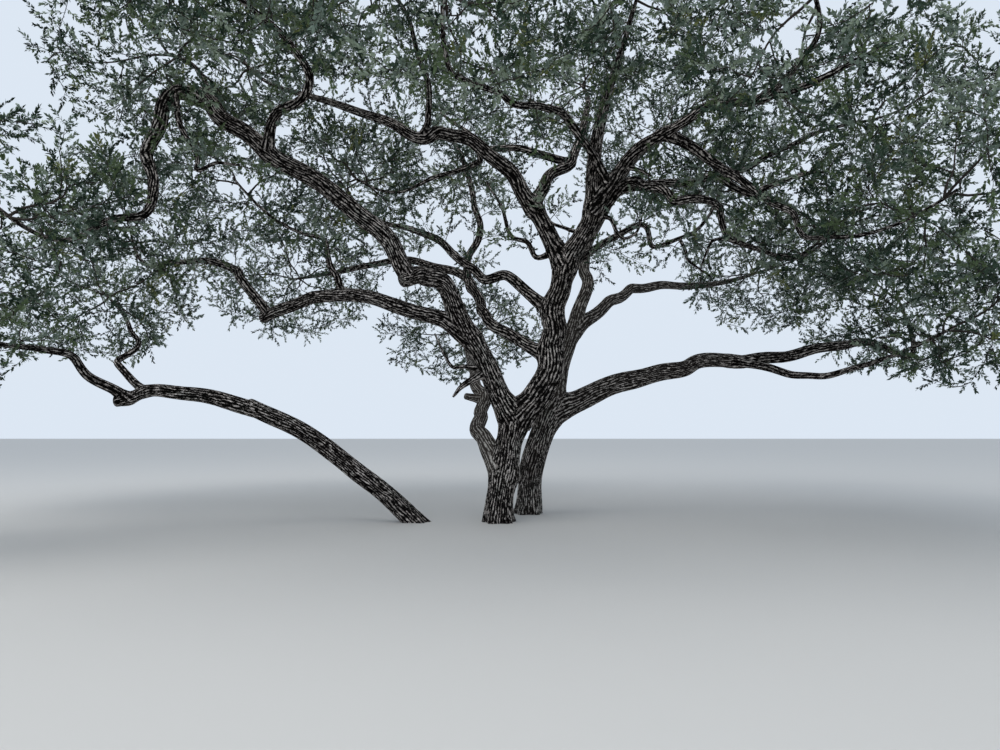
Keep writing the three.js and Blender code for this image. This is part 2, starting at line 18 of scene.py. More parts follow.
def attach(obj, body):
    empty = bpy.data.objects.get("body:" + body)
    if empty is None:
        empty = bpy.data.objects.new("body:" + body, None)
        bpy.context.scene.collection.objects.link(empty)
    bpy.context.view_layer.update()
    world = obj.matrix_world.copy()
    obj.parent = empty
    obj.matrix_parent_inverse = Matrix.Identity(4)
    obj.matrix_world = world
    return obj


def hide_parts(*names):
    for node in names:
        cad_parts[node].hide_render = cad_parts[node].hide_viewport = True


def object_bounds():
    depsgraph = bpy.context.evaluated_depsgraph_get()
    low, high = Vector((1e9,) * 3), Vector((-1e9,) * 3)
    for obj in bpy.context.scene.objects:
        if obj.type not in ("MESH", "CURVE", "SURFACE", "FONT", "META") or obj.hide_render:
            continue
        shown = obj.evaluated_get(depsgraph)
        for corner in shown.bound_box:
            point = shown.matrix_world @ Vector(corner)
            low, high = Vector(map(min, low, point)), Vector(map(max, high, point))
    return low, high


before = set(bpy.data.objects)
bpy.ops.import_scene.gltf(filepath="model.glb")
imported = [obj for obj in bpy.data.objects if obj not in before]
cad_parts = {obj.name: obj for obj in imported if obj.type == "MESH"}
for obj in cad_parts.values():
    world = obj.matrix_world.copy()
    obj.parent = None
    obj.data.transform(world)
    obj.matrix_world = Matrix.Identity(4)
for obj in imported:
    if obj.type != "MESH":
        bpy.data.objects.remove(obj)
cad_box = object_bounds()
print("frame:", len(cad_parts), "nodes in a box of", [list(corner) for corner in cad_box])

# %% [markdown]
# ## Chance that always falls the same way
# A tree needs thousands of small accidents, and every run must give the same tree. So the
# accidents come from a short formula with two keys: one for the thing that grows and one
# for the question asked. It takes whole arrays too, which makes it fast. The questions
# have names. Where one is asked of several things with one key, their index is added.

# %% Seeded chance
GOLDEN_ANGLE = math.pi * (3 - math.sqrt(5))
NEARLY_ZERO = 1e-9
KEY_WAVE = 12.9898
QUESTION_WAVE = 78.233
WAVE_HEIGHT = 43758.5453  # so high that only its last digits count, which fall like chance
WANDER = np.arange(3)  # the first three questions: where a line's wander starts on each axis
ASK = dict(
    spin=1, branch_roll=7, spray_roll=19, spray_swing=31,
    leaf_turn=2, leaf_slant=9, leaf_tilt=11, leaf_size=14,
    waves=3, shoot_turn=5, shoot_stray=6, shoot_slant=7, shoot_length=8,
    own_green=21, shoot_green=22, spray_green=23, fill_place=101,
    sprout_stray=41, sprout_turn=42, sprout_slant=43, sprout_length=44, sprouts=45,
)


def chance(key, question):
    """A number from 0 to 1, always the same for the same two keys."""
    wave = np.sin(key * KEY_WAVE + question * QUESTION_WAVE) * WAVE_HEIGHT
    return wave - np.floor(wave)


def spread(key, question):
    """The same spread evenly from -1 to 1."""
    return 2 * chance(key, question) - 1


def between(limits, draw):
    """The number that lies at a share of the way between two limits."""
    return limits[0] + (limits[1] - limits[0]) * draw


def unit(vectors):
    """Vectors of length 1, for one vector or for rows of them."""
    length = np.linalg.norm(vectors, axis=-1, keepdims=True)
    return vectors / np.maximum(length, NEARLY_ZERO)


def bezier(start, bend, end, count):
    """Places along a curve from start to end that leaves start towards bend."""
    share = np.linspace(0, 1, count + 1)[:, None]
    return start * (1 - share) ** 2 + bend * 2 * share * (1 - share) + end * share**2


print("chance:", [round(float(chance(3, question)), 3) for question in range(4)])

# %% [markdown]
# ## The limbs
# Each limb is a line through a few elbows, from another limb or from its own foot in the
# ground. Its girth is the width across, at both ends. These are the frame's own limbs, in
# metres, so the bark fits them. Most thin with a power above 1, because a limb keeps its
# width where side boughs have not left it yet, and then loses it quickly. A limb that
# differs has a power of its own, thins, and pale says how much paler its bark is painted.

# %% The limbs of this tree
LIMBS = [
    dict(name="trunk_front", foot=[0, 0], flare=0.05, girth=[0.45, 0.45],
         elbows=[[0.08, 0, 1], [0.3, 0.05, 1.85]]),
    dict(name="stem_centre", root="trunk_front", at=0.97, girth=[0.52, 0.09],
         elbows=[[0.8, 0.1, 2.4], [0.95, 0.1, 3.1], [0.97, 0.05, 3.65], [1.1, 0, 4.3],
                 [1.6, -0.3, 5.4], [1.65, -0.8, 6.6], [2.1, -0.9, 8.15]]),
    dict(name="stem_right", foot=[0.53, 1.3], flare=0.04, girth=[0.45, 0.47], pale=0.25,
         elbows=[[0.6, 1.3, 0.7], [0.86, 1.3, 1.68], [1.08, 1.3, 2.1]]),
    dict(name="stem_leaning", foot=[-1.5, 0], flare=0.02, girth=[0.33, 0.28],
         elbows=[[-2.3, -0.1, 0.75], [-3.4, -0.3, 1.57], [-4.25, -0.5, 2]]),
    dict(name="bough_left", root="trunk_front", at=0.94, girth=[0.38, 0.29],
         elbows=[[-0.25, -0.1, 2.7], [-0.85, -0.5, 3.9], [-1.25, -0.7, 4.2], [-1.6, -0.9, 4.1]]),
    dict(name="bough_left_high", root="bough_left", at=0.97, girth=[0.31, 0.25],
         elbows=[[-2.1, -1, 5], [-3.45, -1.35, 5.9], [-4.3, -1.65, 6.45], [-4.7, -1.8, 6.85]]),
    dict(name="bough_left_drop", root="bough_left_high", at=0.97, girth=[0.25, 0.07],
         elbows=[[-4.98, -1.85, 6.85], [-5.18, -1.95, 6.6], [-5.25, -2, 6.2],
                 [-5.32, -2.1, 5.75], [-5.12, -2.35, 5.25], [-5.08, -2.6, 4.7],
                 [-5.4, -2.9, 4.5], [-5.7, -3.1, 4.22]]),
    dict(name="bough_left_rise", root="bough_left_high", at=0.7, girth=[0.17, 0.07],
         elbows=[[-3.45, -1.9, 6.5], [-2.85, -2.4, 6.55], [-2.85, -3, 6.9], [-3.3, -3.8, 7.1]]),
    dict(name="bough_left_low", root="bough_left", at=0.47, girth=[0.27, 0.21],
         elbows=[[-1.25, -0.3, 3.6], [-2.9, 0.2, 4.05], [-3.85, 0.5, 3.9], [-4.45, 0.7, 3.7]]),
    dict(name="bough_left_low_tip", root="bough_left_low", at=0.97, girth=[0.2, 0.08],
         elbows=[[-4.95, 1, 4.45], [-5.3, 1.2, 4.8], [-6.35, 1.6, 5], [-6.95, 1.8, 4.95]]),
    dict(name="bough_left_inner", root="bough_left_low", at=0.6, girth=[0.13, 0.06],
         elbows=[[-3.05, 0.3, 4.5], [-3.3, 0.5, 5.1], [-3.95, 0.7, 5.4]]),
    dict(name="bough_leaning", root="stem_leaning", at=0.96, girth=[0.28, 0.17],
         elbows=[[-5.4, -0.85, 2.25], [-6.1, -1.25, 2.05]]),
    dict(name="bough_leaning_left", root="bough_leaning", at=0.92, girth=[0.16, 0.07],
         elbows=[[-6.35, -1.6, 2.45], [-6.5, -2.1, 2.75], [-6.7, -2.9, 2.75]]),
    dict(name="bough_leaning_rise", root="bough_leaning", at=0.8, girth=[0.13, 0.08],
         elbows=[[-6.5, -0.5, 2.7], [-6.5, 0.1, 3.1], [-6.85, 0.5, 3.5]]),
    dict(name="bough_top_left", root="stem_centre", at=0.43, girth=[0.32, 0.08],
         elbows=[[0.6, 0.05, 5.6], [0, -0.1, 6.4], [-0.85, -0.4, 6.8], [-1.4, -0.5, 6.7],
                 [-2.4, -0.2, 7.25], [-4, 0.2, 7.9]]),
    dict(name="bough_top_mid", root="bough_top_left", at=0.56, girth=[0.12, 0.07],
         elbows=[[-1.2, -0.8, 7.15], [-1.4, -1.7, 7.95]]),
    dict(name="bough_top_low", root="bough_top_left", at=0.4, girth=[0.12, 0.06],
         elbows=[[-0.4, 0.2, 6.5], [-1.05, 0.5, 6.4], [-1.75, 0.8, 6.2]]),
    dict(name="bough_top_back", root="bough_top_left", at=0.18, girth=[0.23, 0.14],
         elbows=[[0.9, 0.5, 6.3], [1.45, 1.1, 6.95], [1.85, 2.1, 8.4]]),
    dict(name="bough_mid", root="stem_centre", at=0.305, girth=[0.22, 0.1],
         elbows=[[0.15, 0.6, 4.45], [-0.35, 0.9, 4.5], [-0.85, 1.1, 5], [-1.55, 1.5, 5.55],
                 [-2.25, 2, 5.85]]),
    dict(name="bough_mid_low", root="stem_centre", at=0.185, girth=[0.23, 0.12],
         elbows=[[-0.15, 0.8, 3.6], [-0.4, 1.4, 4.1], [-0.8, 2.1, 4.8], [-2.2, 3.25, 5.4],
                 [-3.85, 4.2, 5.35]]),
    dict(name="bough_mid_rise", root="bough_mid_low", at=0.4, girth=[0.16, 0.11],
         elbows=[[-0.7, 2.05, 5.05], [-0.45, 2.3, 5.7], [-0.55, 2.7, 6.55], [-0.8, 3.1, 7.55]]),
    dict(name="bough_right_high", root="stem_centre", at=0.59, girth=[0.27, 0.07], thins=0.7,
         elbows=[[2.2, -1, 6.15], [3.1, -2.3, 6.4], [3.65, -3, 6.2], [3.95, -3.85, 6.45]]),
    dict(name="bough_right_mid", root="bough_right_high", at=0.4, girth=[0.18, 0.06],
         elbows=[[3.2, -1.4, 6.1], [3.55, -1.8, 5.55], [3.95, -2.25, 5.05],
                 [4.25, -2.4, 4.75], [4.4, -2.5, 4.4], [4.75, -2.6, 4.35]]),
    dict(name="bough_right_inner", root="stem_centre", at=0.54, girth=[0.19, 0.07],
         elbows=[[2.2, -0.5, 5.85], [2.55, -1.15, 5.55], [2.85, -1.5, 5.25], [3.6, -1.1, 5.3],
                 [3.85, -0.7, 4.9], [5, -0.1, 4.65]]),
    dict(name="bough_right_outer", root="bough_right_inner", at=0.17, girth=[0.15, 0.08],
         elbows=[[3.4, -0.6, 5.9], [4.35, -0.5, 6.2], [5.45, -0.2, 6.8]]),
    dict(name="bough_right_thin", root="stem_centre", at=0.43, girth=[0.14, 0.07],
         elbows=[[2.05, 0.3, 5.1], [2.65, 0.6, 5.45], [2.95, 0.8, 5.1], [3.6, 1, 5.35]]),
    dict(name="bough_front", root="bough_right_high", at=0.11, girth=[0.15, 0.06],
         elbows=[[1.2, -1.3, 6.55], [0.7, -2.2, 6.45], [0.3, -3, 6.1], [-0.05, -3.6, 6],
                 [-0.5, -4.6, 5.7]]),
    dict(name="bough_right_low", root="stem_right", at=0.93, girth=[0.42, 0.25], pale=0.2,
         elbows=[[1.95, 1.4, 2.35], [2.75, 1.4, 2.65], [3.45, 1.4, 2.74], [3.9, 1.35, 2.95],
                 [4.75, 1.25, 2.92]]),
    dict(name="bough_right_low_tip", root="bough_right_low", at=0.97, girth=[0.24, 0.12],
         elbows=[[5.25, 1.15, 3], [6.2, 1.1, 3.15], [7, 1.15, 3.3], [7.9, 1.3, 3.05]]),
    dict(name="bough_right_low_side", root="bough_right_low", at=0.93, girth=[0.17, 0.09],
         elbows=[[5.3, 0.7, 2.7], [5.7, 0.3, 2.55], [6.25, -0.2, 2.7]]),
    dict(name="stem_back", root="stem_right", at=0.9, girth=[0.33, 0.12], pale=0.8,
         elbows=[[1.3, 1.4, 3.15], [1.75, 1.75, 4.5], [1.8, 2.1, 5.35], [2.7, 2.6, 7.1]]),
    dict(name="bough_right_back", root="stem_back", at=0.3, girth=[0.26, 0.15], pale=0.6,
         elbows=[[2.3, 2.1, 4.25], [3.1, 2.8, 4.7], [4.5, 3.6, 4.9]]),
    dict(name="bough_back", root="trunk_front", at=0.52, girth=[0.36, 0.13], thins=0.6, pale=1,
         elbows=[[-0.25, 0.25, 1.35], [-0.4, 0.5, 1.65], [-0.35, 0.75, 1.9],
                 [-0.32, 1.05, 2.2], [-0.5, 1.5, 2.6], [-0.6, 2.6, 3], [-0.8, 4.1, 3.55]]),
    dict(name="bough_left_crest", root="bough_left_high", at=0.9, girth=[0.13, 0.07],
         elbows=[[-4.6, -1.65, 6.95], [-4.8, -1.6, 7.3]]),
]
print("limbs:", len(LIMBS))

# %% [markdown]
# ## Side boughs
# The frame keeps the main boughs only. Between them the real tree has lesser ones: some
# carry a few sprays, some are dead stubs that broke off long ago. They cross the sky
# between the masses, so their lines are as much part of the tree's face as the main ones.

# %% The side boughs of this tree
SIDE_BOUGHS = [
    dict(name="side_top_left", root="bough_top_left", at=0.05, girth=[0.1, 0.035],
         elbows=[[0.65, 0.1, 4.7], [0.45, 0.1, 5], [0.2, 0.2, 5.2], [0, 0.4, 5.75],
                 [-0.25, 0.7, 6.3]]),
    dict(name="side_top_back", root="bough_top_back", at=0.46, girth=[0.16, 0.05],
         elbows=[[0.85, 0.9, 6.9], [0.4, 1.1, 7.15], [0, 1.2, 7.15], [-0.3, 1.4, 7.3],
                 [-0.8, 1.7, 7.8], [-1.25, 2.1, 8.3]]),
    dict(name="side_centre", root="stem_centre", at=0.53, girth=[0.08, 0.03],
         elbows=[[1.2, 0.05, 5.2], [0.95, 0.15, 5.35], [0.8, 0.45, 5.8]]),
    dict(name="side_hook", root="bough_right_inner", at=0.05, girth=[0.08, 0.03],
         elbows=[[1.95, -0.35, 5.3], [2.05, -0.4, 5.05], [2.15, -0.4, 4.9], [2.35, -0.5, 5],
                 [2.45, -0.6, 5.3]]),
    dict(name="side_right_high", root="bough_right_high", at=0.2, girth=[0.09, 0.04],
         elbows=[[2.35, -1, 5.9], [2.5, -1.05, 5.8]]),
    dict(name="side_right_outer", root="bough_right_outer", at=0.45, girth=[0.14, 0.05],
         elbows=[[4.1, -0.7, 5.7], [4.35, -0.75, 5.55], [4.5, -0.8, 5.7], [4.95, -0.9, 5.85],
                 [5.35, -1.1, 5.85]]),
    dict(name="side_right_thin", root="bough_right_thin", at=0.95, girth=[0.07, 0.03],
         elbows=[[3.55, 0.9, 5.05], [3.6, 0.8, 4.8], [3.95, 0.6, 4.45]]),
    dict(name="side_right_inner", root="bough_right_inner", at=0.8, girth=[0.07, 0.03],
         elbows=[[3.6, -0.9, 4.75], [3.4, -1, 4.55], [3.3, -1.1, 4.3]]),
    dict(name="side_right_end", root="bough_right_inner", at=0.97, girth=[0.07, 0.03],
         elbows=[[5.45, -0.1, 4.75], [5.7, -0.2, 5]]),
    dict(name="side_left_drop", root="bough_left_drop", at=0.12, girth=[0.1, 0.035],
         elbows=[[-4.8, -2.2, 6.15], [-4.5, -2.3, 5.6], [-4.45, -2.3, 5.45],
                 [-4.2, -2.4, 5.5], [-3.75, -2.6, 5.4]]),
    dict(name="side_left", root="bough_left", at=0.3, girth=[0.09, 0.03],
         elbows=[[-0.62, -0.2, 2.68], [-0.85, -0.25, 2.68], [-0.97, -0.3, 2.95],
                 [-1.12, -0.4, 3.25]]),
    dict(name="stub_left", root="bough_left", at=0.29, girth=[0.13, 0.04], thins=2.5,
         elbows=[[-0.62, -0.35, 2.38], [-0.8, -0.4, 2.17]]),
    dict(name="stub_back", root="bough_back", at=0.35, girth=[0.17, 0.12], pale=1,
         elbows=[[-0.65, 1, 2.24]]),
    dict(name="side_right_top", root="bough_right_high", at=0.8, girth=[0.12, 0.04],
         elbows=[[4.4, -3.4, 6.3], [5.1, -3.6, 6.7]]),
]
print("side boughs:", len(SIDE_BOUGHS))

# %% [markdown]
# ## The masses of foliage
# A mass grows from the tip of its limb and keeps to a rounded space of its own. Where no
# space reaches, the sky shows through, as it does between the boughs of the real crown.
# Each mass also belongs to a part of the crown: the leaves of a part become one piece.

# %% The masses of this tree
MASSES = [
    dict(name="left_crest", limb="bough_left_crest", part="left",
         middle=[-5.45, -1.4, 7.7], reach=[1.9, 2, 1.6]),
    dict(name="left_front", limb="bough_left_drop", part="left",
         middle=[-6.7, -3.6, 4.65], reach=[1.9, 1.9, 1.2]),
    dict(name="front_left", limb="bough_left_rise", part="front",
         middle=[-3.5, -5, 7.6], reach=[2.1, 2, 1.6]),
    dict(name="left_back", limb="bough_left_low_tip", part="left",
         middle=[-8, 2.6, 6], reach=[1.9, 2, 1.7]),
    dict(name="left_inner", limb="bough_left_inner", part="left",
         middle=[-5.2, 1, 6.5], reach=[1.7, 1.5, 1.25]),
    dict(name="low_left_front", limb="bough_leaning_left", part="left",
         middle=[-7.6, -3.4, 3.35], reach=[1.9, 2, 1.3]),
    dict(name="low_left_back", limb="bough_leaning_rise", part="left",
         middle=[-7.7, 1, 4.3], reach=[2, 2.1, 1.5]),
    dict(name="top_far_left", limb="bough_top_left", part="top",
         middle=[-5, 0.9, 8.8], reach=[2.1, 2.1, 1.6]),
    dict(name="top_left", limb="bough_top_mid", part="top",
         middle=[-2.2, -1.8, 8.9], reach=[2.2, 2.1, 1.75]),
    dict(name="mid_left", limb="bough_top_low", part="front",
         middle=[-2.9, 1.2, 6.6], reach=[1.6, 1.3, 1.15]),
    dict(name="top_back", limb="bough_top_back", part="high",
         middle=[1.8, 3, 9.4], reach=[2.3, 2.2, 1.5]),
    dict(name="mid_back_left", limb="bough_mid", part="back",
         middle=[-3.6, 3.2, 7.2], reach=[1.7, 1.8, 1.4]),
    dict(name="back_left", limb="bough_mid_low", part="back",
         middle=[-5.3, 5.3, 5.4], reach=[2.3, 2.2, 1.6]),
    dict(name="top_back_left", limb="bough_mid_rise", part="high",
         middle=[-1.2, 4.2, 8.6], reach=[2.2, 2.1, 1.7]),
    dict(name="top", limb="stem_centre", part="top",
         middle=[2.3, -1.5, 8.85], reach=[2.4, 2.5, 1.7]),
    dict(name="front_right", limb="bough_right_high", part="front",
         middle=[3.6, -4.6, 6.95], reach=[2, 2.3, 1.7]),
    dict(name="right_front", limb="bough_right_mid", part="right",
         middle=[6.3, -3, 4.9], reach=[2.1, 1.9, 1.5]),
    dict(name="right_inner", limb="bough_right_inner", part="right",
         middle=[6.2, 0, 5.3], reach=[1.9, 1.9, 1.4]),
    dict(name="right_high", limb="bough_right_outer", part="right",
         middle=[6.7, -0.3, 7.1], reach=[2.3, 2.4, 1.6]),
    dict(name="right_mid", limb="bough_right_thin", part="right",
         middle=[4.5, 1.2, 6.8], reach=[1.7, 1.7, 1.15]),
    dict(name="front", limb="bough_front", part="front",
         middle=[-0.6, -5.2, 6.85], reach=[2.3, 1.9, 1.6]),
    dict(name="right", limb="bough_right_low_tip", part="right",
         middle=[8, 1.6, 4.2], reach=[2.3, 2.1, 1.5]),
    dict(name="low_right", limb="bough_right_low_side", part="right",
         middle=[7.4, -1.2, 3.3], reach=[1.7, 1.8, 1.1]),
    dict(name="high_back_right", limb="stem_back", part="high",
         middle=[4, 3.4, 8.35], reach=[2.3, 2.1, 1.8]),
    dict(name="back_right", limb="bough_right_back", part="back",
         middle=[6.7, 4.8, 5.6], reach=[2.3, 2.2, 1.6]),
    dict(name="back", limb="bough_back", part="back",
         middle=[-1, 5.8, 4.2], reach=[2.2, 2, 1.4]),
]
print("masses of foliage:", len(MASSES))

# %% [markdown]
# ## Lines that can be walked along
# Everything that grows here is a line: a limb, a twig, a shoot. A Line keeps close-set
# places and can say where a share of its length lies and which way it heads there.

# %% A line in space
HEADING_STEP = 0.01  # share of its length over which a line's heading is taken


class Line:
    """A smooth line, asked for places by the share of its length."""

    def __init__(self, places):
        self.places = places
        steps = np.linalg.norm(np.diff(places, axis=0), axis=1)
        self.sums = np.concatenate([[0], np.cumsum(steps)])
        self.length = self.sums[-1]

    def at(self, shares):
        reach = np.asarray(shares) * self.length
        axes = [np.interp(reach, self.sums, self.places[:, axis]) for axis in range(3)]
        return np.stack(axes, axis=-1)

    def heading(self, shares):
        shares = np.asarray(shares)
        after = self.at(np.minimum(shares + HEADING_STEP, 1))
        return unit(after - self.at(np.maximum(shares - HEADING_STEP, 0)))


print("a line of length", Line(np.array([[0.0, 0, 0], [0, 0, 2]])).length)

# %% [markdown]
# ## Laying out the limbs
# A limb's line runs smoothly through its elbows and wanders a little on the way, because
# no oak bough is straight for long. Where a limb leaves its parent it swells into a
# collar. A limb that carries foliage doesn't end at its tip: it runs on as the stem of
# its mass, so that bark and twigs are one wood with no seam.

# %% Lay out the limbs
CURVE_TENSION = 0.5
CURVE_STEPS = 200
CROOK = 0.03  # sideways wander of a limb
CROOK_WAVE = 1.15  # length of one wander
TAPER_POWER = 1.25
COLLAR_SWELL = 0.18
COLLAR_REACH = 2.2
RUNS_ON = 0.95  # a limb from this near to its parent's tip runs on without a collar
FOOT_DEPTH = 0.3  # a stem starts this deep and is then cut level with the ground
TOUCH_GAP = 0.00035
STEM_TIP_RADIUS = 0.022
STEM_RUN_ON = 0.4


def smooth_through(points, count):
    """Places on a smooth curve through the points."""
    padded = np.vstack([2 * points[0] - points[1], points, 2 * points[-1] - points[-2]])
    spans = len(points) - 1
    reach = np.linspace(0, spans, count + 1)
    span = np.minimum(reach.astype(int), spans - 1)
    weight = (reach - span)[:, None]
    before, start, end, after = (padded[span + offset] for offset in range(4))
    leaving = CURVE_TENSION * (end - before)
    arriving = CURVE_TENSION * (after - start)
    square = 3 * (end - start) - 2 * leaving - arriving
    cube = 2 * (start - end) + leaving + arriving
    return start + leaving * weight + square * weight**2 + cube * weight**3


def wandering_line(points, key):
    places = smooth_through(np.array(points, float), CURVE_STEPS)
    share = np.linspace(0, 1, CURVE_STEPS + 1)[:, None]
    length = Line(places).length
    waves = max(1, math.floor(length / CROOK_WAVE + 0.5))
    wander = np.sin(2 * np.pi * (waves * share + chance(key, WANDER)))
    crook = CROOK * min(1, length / CROOK_WAVE) ** 2  # a short side bough is nearly straight
    return Line(places + wander * crook * np.sin(np.pi * share))


def radius_at(limb, shares):
    """Radius of a limb at shares of its length: its taper and the collar at its root."""
    root, tip = limb["radii"]
    taper = root + (tip - root) * np.asarray(shares) ** limb.get("thins", TAPER_POWER)
    if "foot" in limb or limb["at"] >= RUNS_ON:
        return taper
    clear = np.maximum(0, shares * limb["line"].length - limb["root_depth"])
    return taper * (1 + COLLAR_SWELL * np.exp(-clear / (COLLAR_REACH * root)))


def lay_out(limb, key, limbs):
    points = [list(elbow) for elbow in limb["elbows"]]
    if "foot" in limb:
        foot = np.array([*limb["foot"], 0.0])
        run = np.array(points[0]) - foot
        points = [foot - run * FOOT_DEPTH / run[2], foot, *points]
    else:
        parent = limbs[limb["root"]]
        points = [parent["line"].at(limb["at"]), *points]
        limb["root_depth"] = radius_at(parent, limb["at"])
    limb["line"] = wandering_line(points, key)
    limb["radii"] = [girth / 2 for girth in limb["girth"]]
    limbs[limb["name"]] = limb


def stem_line(mass, limb):
    """The stem of a mass: on from its limb's tip and into the middle of its space."""
    middle = np.array(mass["middle"], float)
    heading = unit(limb["line"].places[-1] - limb["line"].places[-2])
    root = limb["line"].places[-1] + heading * TOUCH_GAP
    bend = root + heading * np.linalg.norm(middle - root) * STEM_RUN_ON
    return Line(bezier(root, bend, middle, CURVE_STEPS))


limbs = {}
for number, limb in enumerate(LIMBS):
    lay_out(limb, number + 1, limbs)
for number, limb in enumerate(SIDE_BOUGHS):
    lay_out(limb, len(LIMBS) + number + 1, limbs)
for mass in MASSES:
    mass["stem"] = stem_line(mass, limbs[mass["limb"]])
    limbs[mass["limb"]]["stem"] = mass["stem"]
WOOD = LIMBS + SIDE_BOUGHS
print("metres of limb:", round(sum(limb["line"].length for limb in LIMBS), 1))

# %% [markdown]
# ## Meshes from arrays
# Blender can take a whole mesh as a few flat arrays: corner places, then the corners of
# each face. That is far quicker than adding faces one by one, and a crown of a million
# triangles needs it. Faces of three and of four corners come as two separate arrays.

# %% Meshes from arrays
def mesh_object(name, places, faces, materials, tints=None):
    """An object from an array of places and a list of arrays of faces."""
    corners = np.concatenate([part.ravel() for part in faces]).astype(np.int32)
    counts = np.concatenate([np.full(len(part), part.shape[1]) for part in faces])
    starts = np.concatenate([[0], np.cumsum(counts)[:-1]]).astype(np.int32)
    mesh = bpy.data.meshes.new(name)
    mesh.vertices.add(len(places))
    mesh.vertices.foreach_set("co", places.astype(np.float32).ravel())
    mesh.loops.add(len(corners))
    mesh.loops.foreach_set("vertex_index", corners)
    mesh.polygons.add(len(counts))
    mesh.polygons.foreach_set("loop_start", starts)
    for material in materials:
        mesh.materials.append(material)
    if tints is not None:
        mesh.polygons.foreach_set("material_index", tints.astype(np.int32))
    mesh.update(calc_edges=True)
    made = bpy.data.objects.new(name, mesh)
    bpy.context.collection.objects.link(made)
    return made


def give_values(made, name, values):
    """Stores a number or a vector for each corner, for the material to read."""
    kind, field = ("FLOAT", "value") if values.ndim == 1 else ("FLOAT_VECTOR", "vector")
    attribute = made.data.attributes.new(name, kind, "POINT")
    attribute.data.foreach_set(field, values.astype(np.float32).ravel())


def triangle_count(made):
    made.data.calc_loop_triangles()
    return len(made.data.loop_triangles)


def tube_faces(rings, around, first=0):
    """Four-cornered faces round a tube of that many rings and corners around."""
    ring = np.arange(rings - 1)[:, None] * around
    turn = np.arange(around)[None]
    after = (turn + 1) % around
    quads = np.stack([ring + turn, ring + after, ring + around + after, ring + around + turn], -1)
    return quads.reshape(-1, 4) + first


print("faces round a tube of 3 rings of 5:", len(tube_faces(3, 5)))

# %% [markdown]
# ## The run of each limb
# Bark lies on rings set along the limb. Each ring needs two directions square to the
# limb's heading, and they must not twist from ring to ring, or the furrows would spiral.
# So each ring's directions come from the ring before it, turned as little as possible.

# %% Rings along a limb
RING_STEP = 0.05
FLARE_HEIGHT = 0.26
FLARE_RIBS = 5
RIB_DEPTH = 0.16
FEWEST_RINGS = 4
KNOB_RINGS = 4  # every limb ends in a rounded knob
KNOB_LENGTH = 0.6  # as a share of the limb's radius there
KNOB_TIP = 0.02  # the same for the radius of the last ring


def square_directions(places):
    """The heading at each place and two directions square to it that hardly twist."""
    headings = unit(np.gradient(places, axis=0))
    aside = np.array([0.0, 1.0, 0.0])
    across = np.empty_like(headings)
    for row, heading in enumerate(headings):
        aside = unit(aside - heading * (aside @ heading))
        across[row] = aside
    return headings, across, np.cross(headings, across)


def whole_run(limb):
    """A limb's line with its mass's stem, and a function that gives the radius there."""
    line = limb["line"]
    if "stem" not in limb:
        return line, lambda reach: radius_at(limb, np.minimum(reach / line.length, 1))
    stem = limb["stem"]
    run = Line(np.vstack([line.places, stem.places[1:]]))

    def radius(reach):
        along = np.minimum(reach / line.length, 1)
        after = np.clip((reach - line.length) / stem.length, 0, 1)
        tip = limb["radii"][1]
        return radius_at(limb, along) + (STEM_TIP_RADIUS - tip) * after

    return run, radius


def rings_of(limb):
    """Middles, radii and reaches of a limb's rings, with a knob at its end."""
    run, radius = whole_run(limb)
    count = max(FEWEST_RINGS, round(run.length / RING_STEP))
    reaches = np.linspace(0, run.length, count + 1)
    middles = run.at(reaches / run.length)
    radii = radius(reaches)
    heading = unit(middles[-1] - middles[-2])
    quarter = np.linspace(0, np.pi / 2, KNOB_RINGS + 1)[1:]
    rise = KNOB_LENGTH * radii[-1] * np.sin(quarter)
    middles = np.vstack([middles, middles[-1] + heading * rise[:, None]])
    reaches = np.concatenate([reaches, reaches[-1] + rise])
    radii = np.concatenate([radii, radii[-1] * np.maximum(np.cos(quarter), KNOB_TIP)])
    return middles, radii, reaches


trunk_rings = rings_of(LIMBS[0])
print("rings on the front trunk:", len(trunk_rings[0]))

# %% [markdown]
# ## Ridges and furrows
# Old live oak bark stands in narrow upright ridges, about four centimetres apart, with
# dark furrows between them. The ridges sway, lean on each other and break. Painting them
# on would look flat along the edge of the trunk, where light rakes over. So on the stout
# limbs they are real: the mesh is fine enough for three corners to each ridge.
# The pattern is a wave round the limb, one turn from each ridge to the next. Slow noise
# sways it. Only the sway is stored with the mesh. The material makes the same wave from
# it again at full sharpness, so colour and shape agree.

# %% Relief of the bark
RIDGE_WIDTH = 0.041
FEWEST_RIDGES = 4
STOUT_RADIUS = 0.085  # limbs from here up have ridges in the mesh, thinner ones in colour
CORNERS_PER_RIDGE = (2.2, 3.4)  # round a thin and a stout limb
SWAY = (5.5, 1.6)  # of the wave, in radians: a slow one and a quick one
SWAY_REACH = (0.14, 0.05)  # how wide each sway is, and three times as long
SWAY_STRETCH = 2.8
RIDGE_EDGES = (0.15, 0.8)
RIDGE_DEPTH = 0.06  # as a share of the limb's radius
DEEPEST_FURROW = 0.013
LUMP_SIZE = 0.5
LUMP_DEPTH = 0.07
KEY_OFFSET = 7.31  # sets one limb's pattern apart from another's


def smooth_step(values, edges):
    share = np.clip((values - edges[0]) / (edges[1] - edges[0]), 0, 1)
    return share * share * (3 - 2 * share)


def noise_at(places, size, stretch=1.0):
    """Smooth noise from -1 to 1 at places in a limb's straightened space."""
    scaled = places / np.array([size, size, size * stretch])
    return np.array([noise.noise(Vector(place)) for place in scaled])


def sway_at(grain):
    """How far the wave of ridges is moved at each place, in radians."""
    slow = noise_at(grain, SWAY_REACH[0], SWAY_STRETCH)
    quick = noise_at(grain, SWAY_REACH[1], SWAY_STRETCH)
    return SWAY[0] * slow + SWAY[1] * quick


print("sway:", sway_at(np.array([[0.0, 0, 0], [0.02, 0, 0.1]])).round(2))

